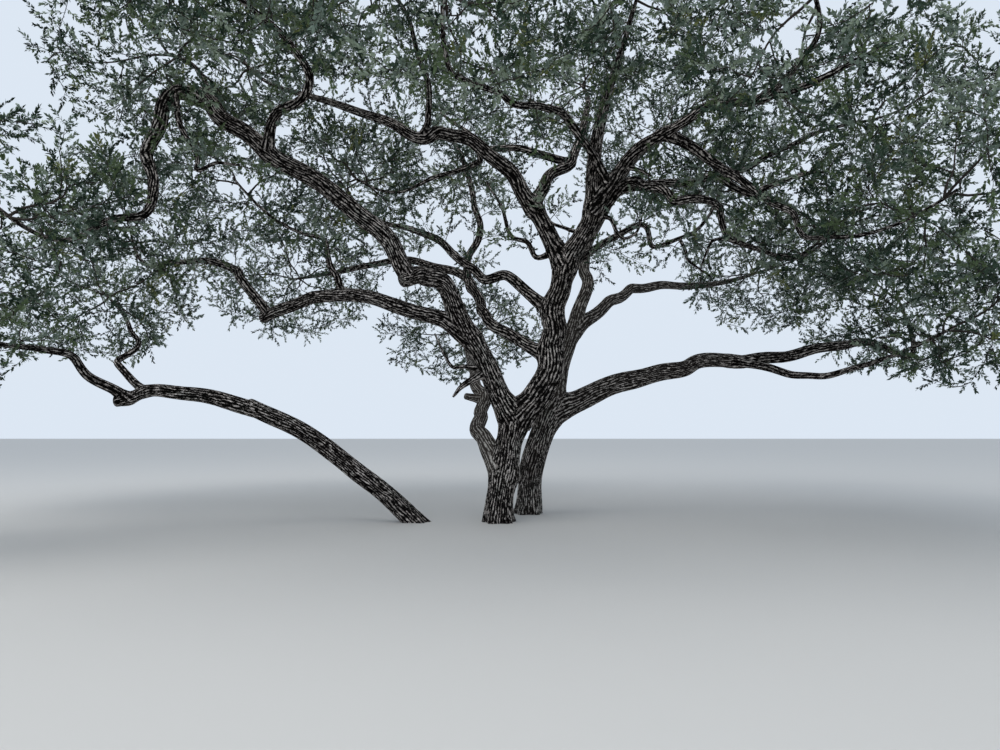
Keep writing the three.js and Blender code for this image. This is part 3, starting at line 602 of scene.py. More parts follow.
# %% [markdown]
# ## Forks that melt together
# Where a bough leaves a trunk the wood flows from one into the other. Two tubes that
# merely cross would show a hard line. A Boolean union would keep that line, and a remesh
# would lose the rings that the bark needs. Instead each tube swells a little where it
# comes near its neighbour: both then meet on one rounded surface.

# %% Fillets at the forks
FILLET_SHARE = 1.15  # width of a fillet, as a share of the thinner limb's radius
FORK_NEAR = 0.9  # limbs that leave one parent this near to each other are melted too
BEAD_STEP = 0.03
ROWS_AT_ONCE = 3000  # measured together, as all rows at once would fill the memory


def beads_of(limb):
    """Balls along a limb that fill it."""
    run, radius = whole_run(limb)
    reaches = np.linspace(0, run.length, math.ceil(run.length / BEAD_STEP) + 1)
    return run.at(reaches / run.length), radius(reaches)


def related(one, other):
    """Whether two limbs grow from each other or beside each other."""
    if one is other:
        return False
    for child, parent in [(one, other), (other, one)]:
        if child.get("root") == parent["name"]:
            return child["at"] < RUNS_ON
    if "root" not in one or one.get("root") != other.get("root"):
        return False
    return abs(one["at"] - other["at"]) * limbs[one["root"]]["line"].length < FORK_NEAR


def fillet(limb, places):
    """How far each place of a limb's skin moves out to melt into its neighbours."""
    swell = np.zeros(len(places))
    for other in WOOD:
        if related(limb, other):
            width = FILLET_SHARE * min(limb["radii"][0], other["radii"][0])
            middles, radii = other["beads"]
            for start in range(0, len(places), ROWS_AT_ONCE):
                part = slice(start, start + ROWS_AT_ONCE)
                apart = np.linalg.norm(places[part, None] - middles[None], axis=2) - radii
                near = np.maximum(0, width - np.abs(apart.min(axis=1)))
                swell[part] = np.maximum(swell[part], near**2 / (4 * width))
    return swell


for limb in WOOD:
    limb["beads"] = beads_of(limb)
neighbours = [other["name"] for other in WOOD if related(LIMBS[0], other)]
print("neighbours of the front trunk:", neighbours)

# %% [markdown]
# ## A limb's skin
# The skin is one tube for each limb: round rings, swollen at forks and ribbed at the
# foot, with the relief on top. At the ground the stems are cut level: corners that would
# lie below slide up along the limb to the cut, and faces that fold flat there are left
# out. The end of a limb is closed by its knob.

# %% The skin of one limb
ON_THE_GROUND = 1e-6  # metres: corners up to this high count as lying on it


def foot_flare(limb, middles, turns):
    """How far the root flare and its ribs stand out from each ring, and the ribs' share."""
    lift = np.exp(-np.maximum(0, middles[:, 2]) / FLARE_HEIGHT)[:, None]
    return limb["flare"] * lift, 1 + RIB_DEPTH * lift * np.cos(FLARE_RIBS * turns)


def skin_shape(limb):
    """How many ridges a limb has round it, and how many corners each ring needs."""
    mean = np.mean(limb["radii"])
    ridges = max(FEWEST_RIDGES, round(2 * np.pi * mean / RIDGE_WIDTH))
    return ridges, round(ridges * CORNERS_PER_RIDGE[int(mean > STOUT_RADIUS)])


def limb_skin(limb, key):
    """Corner places, faces and the values that the bark material reads."""
    middles, radii, reaches = rings_of(limb)
    headings, across, over = square_directions(middles)
    ridges, around = skin_shape(limb)
    turns = np.linspace(0, 2 * np.pi, around, endpoint=False)[None]
    outward = across[:, None] * np.cos(turns)[..., None] + over[:, None] * np.sin(turns)[..., None]
    sizes = np.repeat(radii[:, None], around, axis=1)
    if "foot" in limb:
        flare, ribs = foot_flare(limb, middles, turns)
        sizes = (sizes + flare) * ribs
    level = radii[:, None, None] * np.stack([np.cos(turns), np.sin(turns)], -1)
    along = np.broadcast_to((reaches + key * KEY_OFFSET)[:, None, None], (*level.shape[:2], 1))
    grain = np.concatenate([level, along], axis=-1).reshape(-1, 3)
    sway = sway_at(grain)
    all_radii = np.repeat(radii, around)
    push = LUMP_DEPTH * all_radii * noise_at(grain, LUMP_SIZE)
    if np.mean(limb["radii"]) > STOUT_RADIUS:
        wave = 0.5 + 0.5 * np.cos(ridges * np.tile(turns[0], len(radii)) + sway)
        depth = np.minimum(DEEPEST_FURROW, RIDGE_DEPTH * all_radii)
        push += depth * (smooth_step(wave, RIDGE_EDGES) - 1)
    smooth = (middles[:, None] + outward * sizes[..., None]).reshape(-1, 3)
    push += fillet(limb, smooth)
    places = smooth + outward.reshape(-1, 3) * push[:, None]
    faces = tube_faces(len(middles), around)
    if "foot" in limb:
        under = places[:, 2] < 0
        slide = np.repeat(headings, around, axis=0)[under]
        places[under] -= slide * (places[under, 2] / slide[:, 2])[:, None]
        faces = faces[(places[faces][..., 2] > ON_THE_GROUND).any(axis=1)]
    pale = np.full(len(places), limb.get("pale", 0.0))
    return places, faces, grain, np.stack([np.full(len(places), ridges), sway, pale], axis=1)


skins = {limb["name"]: limb_skin(limb, key + 1) for key, limb in enumerate(WOOD)}
print("faces of bark:", sum(len(skin[1]) for skin in skins.values()))

# %% [markdown]
# ## Shader maths in plain words
# A shader is a formula, and a formula reads best as one. The Paint class below wraps a
# socket, so that `a * b + 1` makes the two maths nodes it needs. Colours blend and vectors
# scale through their own nodes. Every other node comes through one method, which takes the
# kind of node, its settings and what goes into it.

# %% The Paint class
class Paint:
    """A socket of a material's node tree, with sums written as Python."""

    def __init__(self, tree, socket):
        self.tree = tree
        self.socket = socket

    def node(self, kind, settings=None, output=0, **inputs):
        """Any node: its settings first, then values or links for its sockets."""
        made = self.tree.nodes.new(kind)
        for name, value in (settings or {}).items():
            setattr(made, name, value)
        for name, value in inputs.items():
            found = [slot for slot in made.inputs if slot.enabled]
            wanted = name.replace("_", " ").lower()
            slot = next(slot for slot in found if slot.name.lower() == wanted)
            plug(self.tree, slot, value)
        return Paint(self.tree, made.outputs[output])

    def maths(self, operation, *values):
        made = self.tree.nodes.new("ShaderNodeMath")
        made.operation = operation
        for slot, value in zip(made.inputs, values):
            plug(self.tree, slot, value)
        return Paint(self.tree, made.outputs[0])

    def __add__(self, other):
        return self.maths("ADD", self, other)

    def __radd__(self, other):
        return self.maths("ADD", other, self)

    def __sub__(self, other):
        return self.maths("SUBTRACT", self, other)

    def __rsub__(self, other):
        return self.maths("SUBTRACT", other, self)

    def __mul__(self, other):
        return self.maths("MULTIPLY", self, other)

    def __rmul__(self, other):
        return self.maths("MULTIPLY", other, self)

    def __truediv__(self, other):
        return self.maths("DIVIDE", self, other)

    def step(self, start, end):
        """0 below start, 1 above end, and smooth between."""
        return self.node("ShaderNodeMapRange", {"interpolation_type": "SMOOTHSTEP"},
                         value=self, from_min=start, from_max=end)

    def scaled(self, x, y, z):
        """A vector stretched along each axis."""
        made = self.tree.nodes.new("ShaderNodeVectorMath")
        made.operation = "MULTIPLY"
        plug(self.tree, made.inputs[0], self)
        made.inputs[1].default_value = (x, y, z)
        return Paint(self.tree, made.outputs[0])

    def part(self, axis):
        """One of the three numbers of a vector."""
        made = self.tree.nodes.new("ShaderNodeSeparateXYZ")
        plug(self.tree, made.inputs[0], self)
        return Paint(self.tree, made.outputs[axis])

    def blend(self, first, second):
        """Goes from the first colour to the second as this number goes from 0 to 1."""
        made = self.tree.nodes.new("ShaderNodeMix")
        made.data_type = "RGBA"
        plug(self.tree, made.inputs[0], self)
        plug(self.tree, made.inputs[6], first)
        plug(self.tree, made.inputs[7], second)
        return Paint(self.tree, made.outputs[2])


def plug(tree, slot, value):
    """Puts a number, a colour or a link into a socket."""
    if isinstance(value, Paint):
        tree.links.new(value.socket, slot)
    elif isinstance(value, tuple) and slot.type == "RGBA":
        slot.default_value = (*value, 1)
    else:
        slot.default_value = value


def new_material(name, roughness, colour=None, gloss=0.5):
    """A material, a Paint to start its formulas from, and its shader."""
    material = bpy.data.materials.new(name)
    material.use_nodes = True
    shader = material.node_tree.nodes["Principled BSDF"]
    shader.inputs["Roughness"].default_value = roughness
    shader.inputs["Specular IOR Level"].default_value = gloss
    if colour:
        shader.inputs["Base Color"].default_value = (*colour, 1)
    return material, Paint(material.node_tree, None), shader


print("Paint is ready")

# %% [markdown]
# ## The bark's colours
# The ridges' tops are a brownish grey and the furrows nearly black. The grey is partly
# weathered bark and partly a painted highlight; the black is partly dark bark and partly
# painted shade in the furrows.
# The wave of ridges is made again here from the stored sway: the angle round the limb
# times the number of ridges, plus the sway. Stronger noise along the grain breaks the
# ridges into plates about a finger long. Grey lichen lies on them in soft patches, and a
# few limbs are pale.

# %% The bark material
# The furrow colour is dark bark with painted shade; the weathered colour is grey bark with a
# painted highlight on the ridge tops.
FURROW_BARK_AND_SHADE = (0.003, 0.0026, 0.0025)
RIDGE = (0.075, 0.064, 0.057)
WEATHERED_AND_HIGHLIT = (0.74, 0.68, 0.64)
LICHEN = (0.36, 0.37, 0.335)
# Limbs with pale set are painted this paler colour, most of them at the back of the tree.
PALE_LIMB_COLOUR = (0.4, 0.38, 0.35)
PLATES = dict(size=0.034, stretch=2.6, detail=3)
CRACKS = dict(size=0.009, stretch=3.0, detail=3)
PATCHES = dict(size=0.38, stretch=1.5, detail=6)
RIDGE_TOP = 0.6  # of the height: from here up a ridge has its full colour
LICHEN_COVER = 0.7
PALE_COVER = 0.7
PALE_FURROW = 0.5
BUMP_DEPTH = 0.012


def stretched_noise(paint, grain, size, stretch, detail):
    """Noise from about -1 to 1, with features of one size that run along the grain."""
    made = paint.node("ShaderNodeTexNoise", vector=grain.scaled(1, 1, 1 / stretch),
                      scale=1 / size, detail=detail, roughness=0.6)
    return made * 4 - 2


def bark_material():
    material, paint, shader = new_material("bark", 0.95, gloss=0.03)
    grain = paint.node("ShaderNodeAttribute", {"attribute_name": "grain"}, output=1)
    stored = paint.node("ShaderNodeAttribute", {"attribute_name": "bark"}, output=1)
    ridges, sway, pale = stored.part(0), stored.part(1), stored.part(2)
    angle = paint.maths("ARCTAN2", grain.part(1), grain.part(0))
    wave = paint.maths("COSINE", angle * ridges + sway)
    plates = stretched_noise(paint, grain, **PLATES)
    cracks = stretched_noise(paint, grain, **CRACKS)
    patches = stretched_noise(paint, grain, **PATCHES)
    height = (wave * 0.5 + plates * 0.85 + cracks * 0.45).step(0, RIDGE_TOP)
    ridge = (plates * 0.6 + cracks * 0.6 + patches * 0.2).step(-0.3, 0.9)
    # ridge tops: weathered grey with a painted highlight
    ridge = ridge.blend(RIDGE, WEATHERED_AND_HIGHLIT)
    lichen = patches.step(0.15, 0.7) * cracks.step(-0.4, 0.5) * LICHEN_COVER
    ridge = (pale * PALE_COVER).blend(lichen.blend(ridge, LICHEN), PALE_LIMB_COLOUR)
    # furrows: dark bark with painted shade
    furrow_and_shade = (pale * PALE_FURROW).blend(FURROW_BARK_AND_SHADE, RIDGE)
    colour = height.blend(furrow_and_shade, ridge)
    bump = paint.node("ShaderNodeBump", strength=0.7, distance=BUMP_DEPTH,
                      height=height + cracks * 0.1)
    material.node_tree.links.new(colour.socket, shader.inputs["Base Color"])
    material.node_tree.links.new(bump.socket, shader.inputs["Normal"])
    return material


BARK = bark_material()
print("nodes in the bark:", len(BARK.node_tree.nodes))

# %% [markdown]
# ## Dressing the limbs
# The skins are joined into three pieces, so that none grows too heavy. Each piece takes
# the place of the plain limbs that it covers.

# %% Bark on every limb
BARK_PIECES = {
    "bark_stems": ["trunk_", "stem_", "bough_mid", "bough_back"],
    "bark_left": ["bough_left", "bough_leaning", "bough_top"],
    "bark_right": ["bough_right", "bough_front"],
}


def piece_of(limb):
    """The piece of bark that covers a limb: a side bough goes with its root."""
    name = limb["root"] if limb in SIDE_BOUGHS else limb["name"]
    return next(piece for piece, starts in BARK_PIECES.items() if name.startswith(tuple(starts)))


def dress_limbs(piece):
    covered = [limb for limb in WOOD if piece_of(limb) == piece]
    places, faces, grain, stored = [], [], [], []
    first = 0
    for limb in covered:
        skin = skins[limb["name"]]
        places.append(skin[0])
        faces.append(skin[1] + first)
        grain.append(skin[2])
        stored.append(skin[3])
        first += len(skin[0])
    made = mesh_object(piece, np.concatenate(places), [np.concatenate(faces)], [BARK])
    give_values(made, "grain", np.concatenate(grain))
    give_values(made, "bark", np.concatenate(stored))
    made.data.shade_smooth()
    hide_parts(*[limb["name"] for limb in covered if limb in LIMBS])
    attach(made, "root")
    return made


bark = [dress_limbs(piece) for piece in BARK_PIECES]
print("triangles of bark:", [triangle_count(made) for made in bark])

# %% [markdown]
# ## The space of a mass
# A twig may grow only where it has room: inside its own mass's space, nearer to that mass
# than to any other, and clear of all limbs. Keeping to that rule leaves the sky open
# between the masses, and the crown keeps the frame's outline.

# %% Room to grow
SPACE_GAP = 0.035
LIMB_ROOM = 0.05
TEST_STEP = 0.09
MIDDLES = np.array([mass["middle"] for mass in MASSES], float)
REACHES = np.array([mass["reach"] for mass in MASSES], float)


def wood_balls():
    """Balls that fill the frame's limbs, with the room that twigs leave round them."""
    places, sizes = [], []
    for limb in LIMBS:
        shares = np.linspace(0, 1, math.ceil(limb["line"].length / TEST_STEP) + 1)
        places.append(limb["line"].at(shares))
        sizes.append(radius_at(limb, shares) + LIMB_ROOM)
    return np.concatenate(places), np.concatenate(sizes)


WOOD_PLACES, WOOD_SIZES = wood_balls()


def room_at(places, number):
    """For rows of places: whether a twig of the mass of that number may be there."""
    depth = np.linalg.norm((places[:, None] - MIDDLES) / REACHES, axis=2)
    own = depth[:, number].copy()
    depth[:, number] = np.inf
    inside = (own <= 1) & (depth.min(axis=1) >= own + SPACE_GAP)
    rows = np.flatnonzero(inside)
    for start in range(0, len(rows), ROWS_AT_ONCE):
        part = rows[start:start + ROWS_AT_ONCE]
        apart = np.linalg.norm(places[part, None] - WOOD_PLACES, axis=2) - WOOD_SIZES
        inside[part] = apart.min(axis=1) > 0
    return inside


def in_box(places, margin=0.0):
    """Whether each place lies in the frame's box, clear of its sides by the margin."""
    low, high = (np.array(corner) for corner in cad_box)
    return ((places > low + margin) & (places < high - margin)).all(axis=-1)


print("balls of wood:", len(WOOD_PLACES))

# %% [markdown]
# ## Branches and side sprays, as the frame grew them
# Some half a dozen branches leave each stem, spread evenly over all directions by the
# golden angle, and each tries to reach the edge of the mass's space. One that has no room
# is tried shorter. Up to two side sprays leave each. The same rule with the same chances
# gives the frame's own branches, so the finer growth starts from exactly the same wood.

# %% The frame's branches
BRANCHES_PER_METRE = 3.4
BRANCH_REACH = 0.97
BRANCH_ROLL = 0.8
BRANCH_ARCH = 0.1
FIRST_BRANCH = 0.62
LAST_BRANCH = 0.98
BLADE_LONG = 0.95
BLADE_WIDE = 0.4
SHORTEST_BRANCH = 0.8 * BLADE_LONG
SPRAY_LENGTH = 1.05 * BLADE_LONG
SPRAY_SHARES = [0.42, 0.72]
SPRAY_LEAN = 0.55
SPRAY_SWING = 1
TRIES = [1, 0.86, 0.72, 0.58, 0.45]
STEEP = 0.97


def square_to(run, roll):
    """A direction square to a run, turned about it by the roll."""
    aside = np.array([1.0, 0, 0]) if abs(run[2]) > STEEP else np.array([0, 0, 1.0])
    across = unit(np.cross(run, aside))
    return across * math.cos(roll) + np.cross(run, across) * math.sin(roll)


def find_tip(root, target, roll, number):
    """The farthest tip towards a target whose way there has room, or None."""
    for share in TRIES:
        tip = root + (target - root) * share
        length = np.linalg.norm(tip - root)
        run = (tip - root) / length
        steps = math.ceil(length / TEST_STEP)
        way = root + (tip - root) * (np.arange(1, steps + 1) / steps)[:, None]
        side = square_to(run, roll) * BLADE_WIDE / 2
        middle = tip - run * BLADE_LONG / 2
        looked_at = np.vstack([way, middle + side, middle - side])
        if length > SHORTEST_BRANCH and room_at(looked_at, number).all():
            return tip
    return None


def arched(root, tip, count, arch=BRANCH_ARCH):
    """Places from root to tip along a line that arches up a little."""
    share = np.linspace(0, 1, count + 1)[:, None]
    places = root + (tip - root) * share
    places[:, 2] += (np.linalg.norm(tip - root) * arch * share * (1 - share))[:, 0]
    return places


def frame_branches(mass, number):
    """Roots and tips of a mass's branches and of their side sprays."""
    key = number + 1
    middle, reach, stem = MIDDLES[number], REACHES[number], mass["stem"]
    heading = unit(middle - stem.places[0])
    count = math.floor(BRANCHES_PER_METRE * np.cbrt(reach.prod()) + 0.5)
    branches, sprays = [], []
    for index in range(count):
        height = -1 + 2 * (index + 0.5) / count
        turn = index * GOLDEN_ANGLE + 2 * np.pi * chance(key, ASK["spin"])
        level = math.sqrt(1 - height * height)
        towards = np.array([math.cos(turn) * level, math.sin(turn) * level, height])
        onward = (1 + towards @ heading) / 2
        root = stem.at(FIRST_BRANCH + (LAST_BRANCH - FIRST_BRANCH) * onward)
        target = middle + towards * reach * BRANCH_REACH
        roll = BRANCH_ROLL * spread(key, index + ASK["branch_roll"])
        tip = find_tip(root, target, roll, number)
        if tip is not None:
            branches.append((root, tip))
            sprays += side_sprays(root, tip, key, index, number)
    return branches, sprays


def side_sprays(root, tip, key, index, number):
    found = []
    run = unit(tip - root)
    length = np.linalg.norm(tip - root)
    for order, share in enumerate(SPRAY_SHARES):
        at = root + (tip - root) * share
        at[2] += length * BRANCH_ARCH * share * (1 - share)
        side = 1 if (index + order) % 2 == 0 else -1
        swing = SPRAY_SWING * spread(key, index + order + ASK["spray_swing"])
        out = unit(square_to(run, swing) * side + run * SPRAY_LEAN)
        roll = chance(key, index + ASK["spray_roll"])
        spray_tip = find_tip(at, at + out * SPRAY_LENGTH, roll, number)
        if spray_tip is not None:
            found.append((at, spray_tip))
    return found


grown = [frame_branches(mass, number) for number, mass in enumerate(MASSES)]
print("branches:", sum(len(found[0]) for found in grown))
print("side sprays:", sum(len(found[1]) for found in grown))

# %% [markdown]
# ## Twigs that fill the gaps
# The frame's branches leave most of a mass empty. A real crown fills itself: buds grow
# where there is light, which is where nothing else has grown. So we scatter places in the
# mass's space, look for the one farthest from any twig, and grow a twig to it from the
# nearest wood, leaving that wood at a forward slant. We go on until no place is farther
# than a forearm's length from a twig. The middle of a mass counts for less, as it lies in
# shade. Growing at random would be simpler, but it makes knots and holes.

# %% Twigs by the emptiest place
FILL_TRIALS = 900
FILL_GAP = 0.41  # metres from the farthest place to the nearest twig, when filling stops
SHADE_SHARE = 0.28  # how much less the middle of a mass counts than its edge
TWIG_LENGTH = 1.05  # longest twig grown in one go
TWIG_BEND = 0.4  # share of its length that a twig keeps the heading of its wood
SPRING_FORWARD = 0.6  # how strongly a twig prefers to leave wood that heads its way
SKELETON_STEP = 0.12
STEM_LEAFLESS = 0.55  # share of a stem that bears no twigs
TWIG_STEPS = 12
TWIG_CROOK = 0.035  # sideways wander of a twig, as a share of its length
BARE_SHARE = 0.25  # of a twig, from its root, that bears nothing
BOX_MARGIN = 0.2
BRANCH_KEYS = 50  # keys for the branches and sprays of one mass
FIRST_SPRAY_KEY = 25
FILL_KEYS = 1000  # keys for its filling twigs


class Skeleton:
    """Places on all twigs of a mass so far, with their headings."""

    def __init__(self, mass):
        self.places = np.empty((0, 3))
        self.headings = np.empty((0, 3))
        self.add(mass["stem"], STEM_LEAFLESS)

    def add(self, line, first=BARE_SHARE):
        count = max(2, math.ceil(line.length * (1 - first) / SKELETON_STEP))
        shares = np.linspace(first, 1, count)
        self.places = np.vstack([self.places, line.at(shares)])
        self.headings = np.vstack([self.headings, line.heading(shares)])
        return line.at(shares)

    def spring(self, target):
        """The place and heading of the wood that suits a twig to the target best."""
        way = target - self.places
        length = np.linalg.norm(way, axis=1)
        forward = (way * self.headings).sum(axis=1) / np.maximum(length, NEARLY_ZERO)
        best = (length * (1 + SPRING_FORWARD * (1 - forward))).argmin()
        return self.places[best], self.headings[best]


def wandering(root, tip, key, bend=None):
    """A branch's line, arched and a little crooked; with a bend, it first heads there."""
    if bend is None:
        places = arched(root, tip, TWIG_STEPS)
    else:
        places = bezier(root, bend, tip, TWIG_STEPS)
    share = np.linspace(0, 1, TWIG_STEPS + 1)[:, None]
    waves = 1 + np.floor(2 * chance(key, ASK["waves"]))
    sway = np.sin(np.pi * share) * np.sin(2 * np.pi * (waves * share + chance(key, WANDER)))
    return Line(places + sway * TWIG_CROOK * np.linalg.norm(tip - root))


def open_places(number):
    """Scattered places where a mass may still grow, and how much each of them counts."""
    rows = np.arange(FILL_TRIALS) + number * FILL_TRIALS
    trials = np.stack([spread(rows, ASK["fill_place"] + axis) for axis in range(3)], axis=1)
    depth = np.linalg.norm(trials, axis=1)
    places = MIDDLES[number] + trials * REACHES[number]
    kept = (depth < BRANCH_REACH) & in_box(places, BOX_MARGIN) & room_at(places, number)
    return places[kept], 1 - SHADE_SHARE * (1 - depth[kept])


def gaps(places, others):
    """From each place to the nearest of the others."""
    return np.linalg.norm(places[:, None] - others, axis=2).min(axis=1)


def twig_towards(target, skeleton, key):
    """A twig from the wood that suits it best, as far towards a place as twigs grow."""
    root, heading = skeleton.spring(target)
    way = target - root
    reach = min(np.linalg.norm(way), TWIG_LENGTH)
    return wandering(root, root + unit(way) * reach, key, root + heading * reach * TWIG_BEND)


def filling_twigs(skeleton, number):
    """Twigs grown one by one to the place that is farthest from every other twig."""
    places, weight = open_places(number)
    apart = gaps(places, skeleton.places)
    twigs = []
    key = number * FILL_KEYS
    while (apart * weight).max(initial=0) > FILL_GAP:
        key += 1
        row = (apart * weight).argmax()
        twig = twig_towards(places[row], skeleton, key)
        if room_at(twig.places[2:], number).all():
            twigs.append(twig)
            apart = np.minimum(apart, gaps(places, skeleton.add(twig)))
        else:
            apart[row] = 0
    return twigs


def grow_mass(mass, number):
    """All the lines of a mass: its branches, side sprays and filling twigs."""
    skeleton = Skeleton(mass)
    branches, sprays = [], []
    for index, (root, tip) in enumerate(grown[number][0]):
        branches.append(wandering(root, tip, number * BRANCH_KEYS + index))
        skeleton.add(branches[-1])
    for index, (at, tip) in enumerate(grown[number][1]):
        near = skeleton.spring(at)[0]
        key = number * BRANCH_KEYS + FIRST_SPRAY_KEY + index
        sprays.append(wandering(near, tip, key))
        skeleton.add(sprays[-1])
    return branches, sprays, filling_twigs(skeleton, number)


wood_lines = [grow_mass(mass, number) for number, mass in enumerate(MASSES)]
for row, kind in enumerate(["branches", "side sprays", "filling twigs"]):
    print(kind + ":", sum(len(lines[row]) for lines in wood_lines))

# %% [markdown]
# ## Leafy shoots
# Live oak leaves don't sit on the twigs evenly. They crowd on short shoots of this year,
# round all sides, so that each shoot looks like a small bottle brush. Shoots spring from
# the outer part of every twig, one golden angle on from the last, and lean up to the
# light.

# %% Shoots on every twig
SHOOT_STEP = 0.066
SHOOT_LENGTH = (0.22, 0.38)
SHOOT_SLANT = (38, 66)  # degrees between a shoot and its twig
SHOOT_RISE = 0.16  # how far a shoot leans up, as a share of its length
LEAFY_BRANCH = 0.95  # metres of a branch's outer end that bear shoots
OUT_OF_SPACE = 1.05  # a shoot's tip may pass the edge of its mass's space by this much
LEFTOVER_LENGTH = 0.62  # a shoot that has no room is tried this much shorter
SHOOT_STRAY = 0.5  # radians that a shoot may turn from the golden angle
END_SLANT = 0.1  # radians: the last shoot runs nearly straight on
SHOOT_ASIDE = unit(np.array([0.31, 0.22, 1.0]))  # an odd direction, hardly ever a twig's
LINE_KEYS = 211  # keys for the lines of one mass
SHOOT_KEYS = 61  # keys for the shoots of one line


def slanting(heading, turn, slant, rise):
    """Directions at a slant from a heading, each turned about it, that lean up."""
    aside = unit(np.cross(heading, SHOOT_ASIDE))
    over = np.cross(heading, aside)
    side = aside * np.cos(turn)[:, None] + over * np.sin(turn)[:, None]
    run = heading * np.cos(slant)[:, None] + side * np.sin(slant)[:, None]
    return unit(run + np.array([0, 0, rise]))


def shoots_on(line, bare, key):
    """Roots, directions and lengths of the shoots on one line, with a key for each."""
    leafy = line.length * (1 - bare)
    count = max(2, round(leafy / SHOOT_STEP))
    rows = np.arange(count + 1)
    shares = np.minimum(bare + (1 - bare) * (rows + 0.5) / (count + 0.5), 1)
    keys = key * SHOOT_KEYS + rows
    turn = rows * GOLDEN_ANGLE + 2 * np.pi * chance(key, ASK["shoot_turn"])
    turn = turn + SHOOT_STRAY * spread(keys, ASK["shoot_stray"])
    slant = np.radians(between(SHOOT_SLANT, chance(keys, ASK["shoot_slant"])))
    slant[-1] = END_SLANT
    run = slanting(line.heading(shares), turn, slant, SHOOT_RISE)
    lengths = between(SHOOT_LENGTH, chance(keys, ASK["shoot_length"]))
    return line.at(shares), run, lengths, keys


def fits(tips, number):
    """Whether shoots' tips keep to their mass's space and to the frame's box."""
    depth = np.linalg.norm((tips[:, None] - MIDDLES) / REACHES, axis=2)
    own = depth[:, number].copy()
    depth[:, number] = np.inf
    return (own <= OUT_OF_SPACE) & (depth.min(axis=1) >= own) & in_box(tips)


def grow_shoots(number):
    """All shoots of a mass: roots, runs, lengths, and keys."""
    found = []
    branches, sprays, fills = wood_lines[number]
    for index, line in enumerate(branches + sprays + fills):
        bare = BARE_SHARE
        if index < len(branches):
            bare = max(BARE_SHARE, 1 - LEAFY_BRANCH / line.length)
        found.append(shoots_on(line, bare, number * LINE_KEYS + index))
    roots, runs, lengths, keys = (np.concatenate(part) for part in zip(*found))
    short = ~fits(roots + runs * lengths[:, None], number)
    lengths[short] *= LEFTOVER_LENGTH
    kept = fits(roots + runs * lengths[:, None], number)
    return roots[kept], runs[kept], lengths[kept], keys[kept]


shoots = [grow_shoots(number) for number in range(len(MASSES))]
print("shoots:", sum(len(found[0]) for found in shoots))

# %% [markdown]
# ## Sprouts on the boughs
# Enough light comes through the crown for the boughs to bear leafy sprouts of their own:
# short twigs that stand off to all sides and lean up. Stout limbs bear none, and neither
# do low ones. The sprouts are kept with the rest of the wood, as one more set of lines.

# %% Sprouts on the boughs
SPROUT_STEP = 0.26
SPROUT_CHANCE = 0.7
SPROUT_LENGTH = (0.3, 0.85)
SPROUT_SLANT = (45, 80)
SPROUT_RISE = 0.3
SPROUT_STRAY = 0.4  # of a step, along the limb
STOUTEST_SPROUTING = 0.085  # radius
LOWEST_SPROUT = 3.3  # metres above the ground
SPROUT_KEYS = 89  # keys for the sprouts of one limb
FIRST_SPROUT_LINE = 7000  # the key of the first sprout's shoots, past those of the masses


def sprouts_on(limb, key):
    """Leafy twigs that stand on one limb."""
    line = limb["line"]
    count = math.ceil(line.length / SPROUT_STEP)
    rows = np.arange(count)
    keys = key * SPROUT_KEYS + rows
    shares = (rows + 0.5 + SPROUT_STRAY * spread(keys, ASK["sprout_stray"])) / count
    turn = rows * GOLDEN_ANGLE + 2 * np.pi * chance(key, ASK["sprout_turn"])
    slant = np.radians(between(SPROUT_SLANT, chance(keys, ASK["sprout_slant"])))
    roots = line.at(shares)
    runs = slanting(line.heading(shares), turn, slant, SPROUT_RISE)
    lengths = between(SPROUT_LENGTH, chance(keys, ASK["sprout_length"]))
    tips = roots + runs * lengths[:, None]
    grows = (chance(keys, ASK["sprouts"]) < SPROUT_CHANCE) & (roots[:, 2] > LOWEST_SPROUT)
    grows &= (radius_at(limb, shares) < STOUTEST_SPROUTING) & in_box(tips, BOX_MARGIN)
    return [wandering(roots[row], tips[row], keys[row]) for row in np.flatnonzero(grows)]


sprouts = [sprout for key, limb in enumerate(WOOD) for sprout in sprouts_on(limb, key)]
leafing = [shoots_on(line, BARE_SHARE, FIRST_SPROUT_LINE + row)
           for row, line in enumerate(sprouts)]
wood_lines.append(([], [], sprouts))
shoots.append(tuple(np.concatenate(part) for part in zip(*leafing)))
print("sprouts:", len(sprouts), "with shoots:", len(shoots[-1][0]))

# %% [markdown]
# ## Leaves
# A leaf here is a small folded kite, close to the pointed oval of the real one: two faces
# that meet at the midrib. The real leaf is about five centimetres long. There are far too
# many of them for a mesh, so each of ours is a third longer and stands for a few.
# Leaves slant forward on their shoot, and their upper faces turn to the sky.

# %% Leaves on every shoot
LEAVES_PER_SHOOT = 22
LEAF_LENGTH = 0.066
LEAF_WIDTH = 0.46  # as a share of its length
LEAF_FOLD = 0.35  # how steeply the halves of a leaf rise from the midrib
LEAF_SLANT = (64, 26)  # degrees from the shoot, at the shoot's root and at its tip
LEAF_STRAY = 0.25  # radians that its slant may differ
SMALLEST_LEAF = 0.75  # as a share of the length above
LARGER_LEAVES = 0.45  # how much more than that the largest has
FACE_UP = 0.8
WIDEST = 0.45  # where along a leaf it is widest
FIRST_LEAF = 0.1
LEAF_ASIDE = np.array([0.28, -0.35, 0.9])  # an odd direction, hardly ever a shoot's


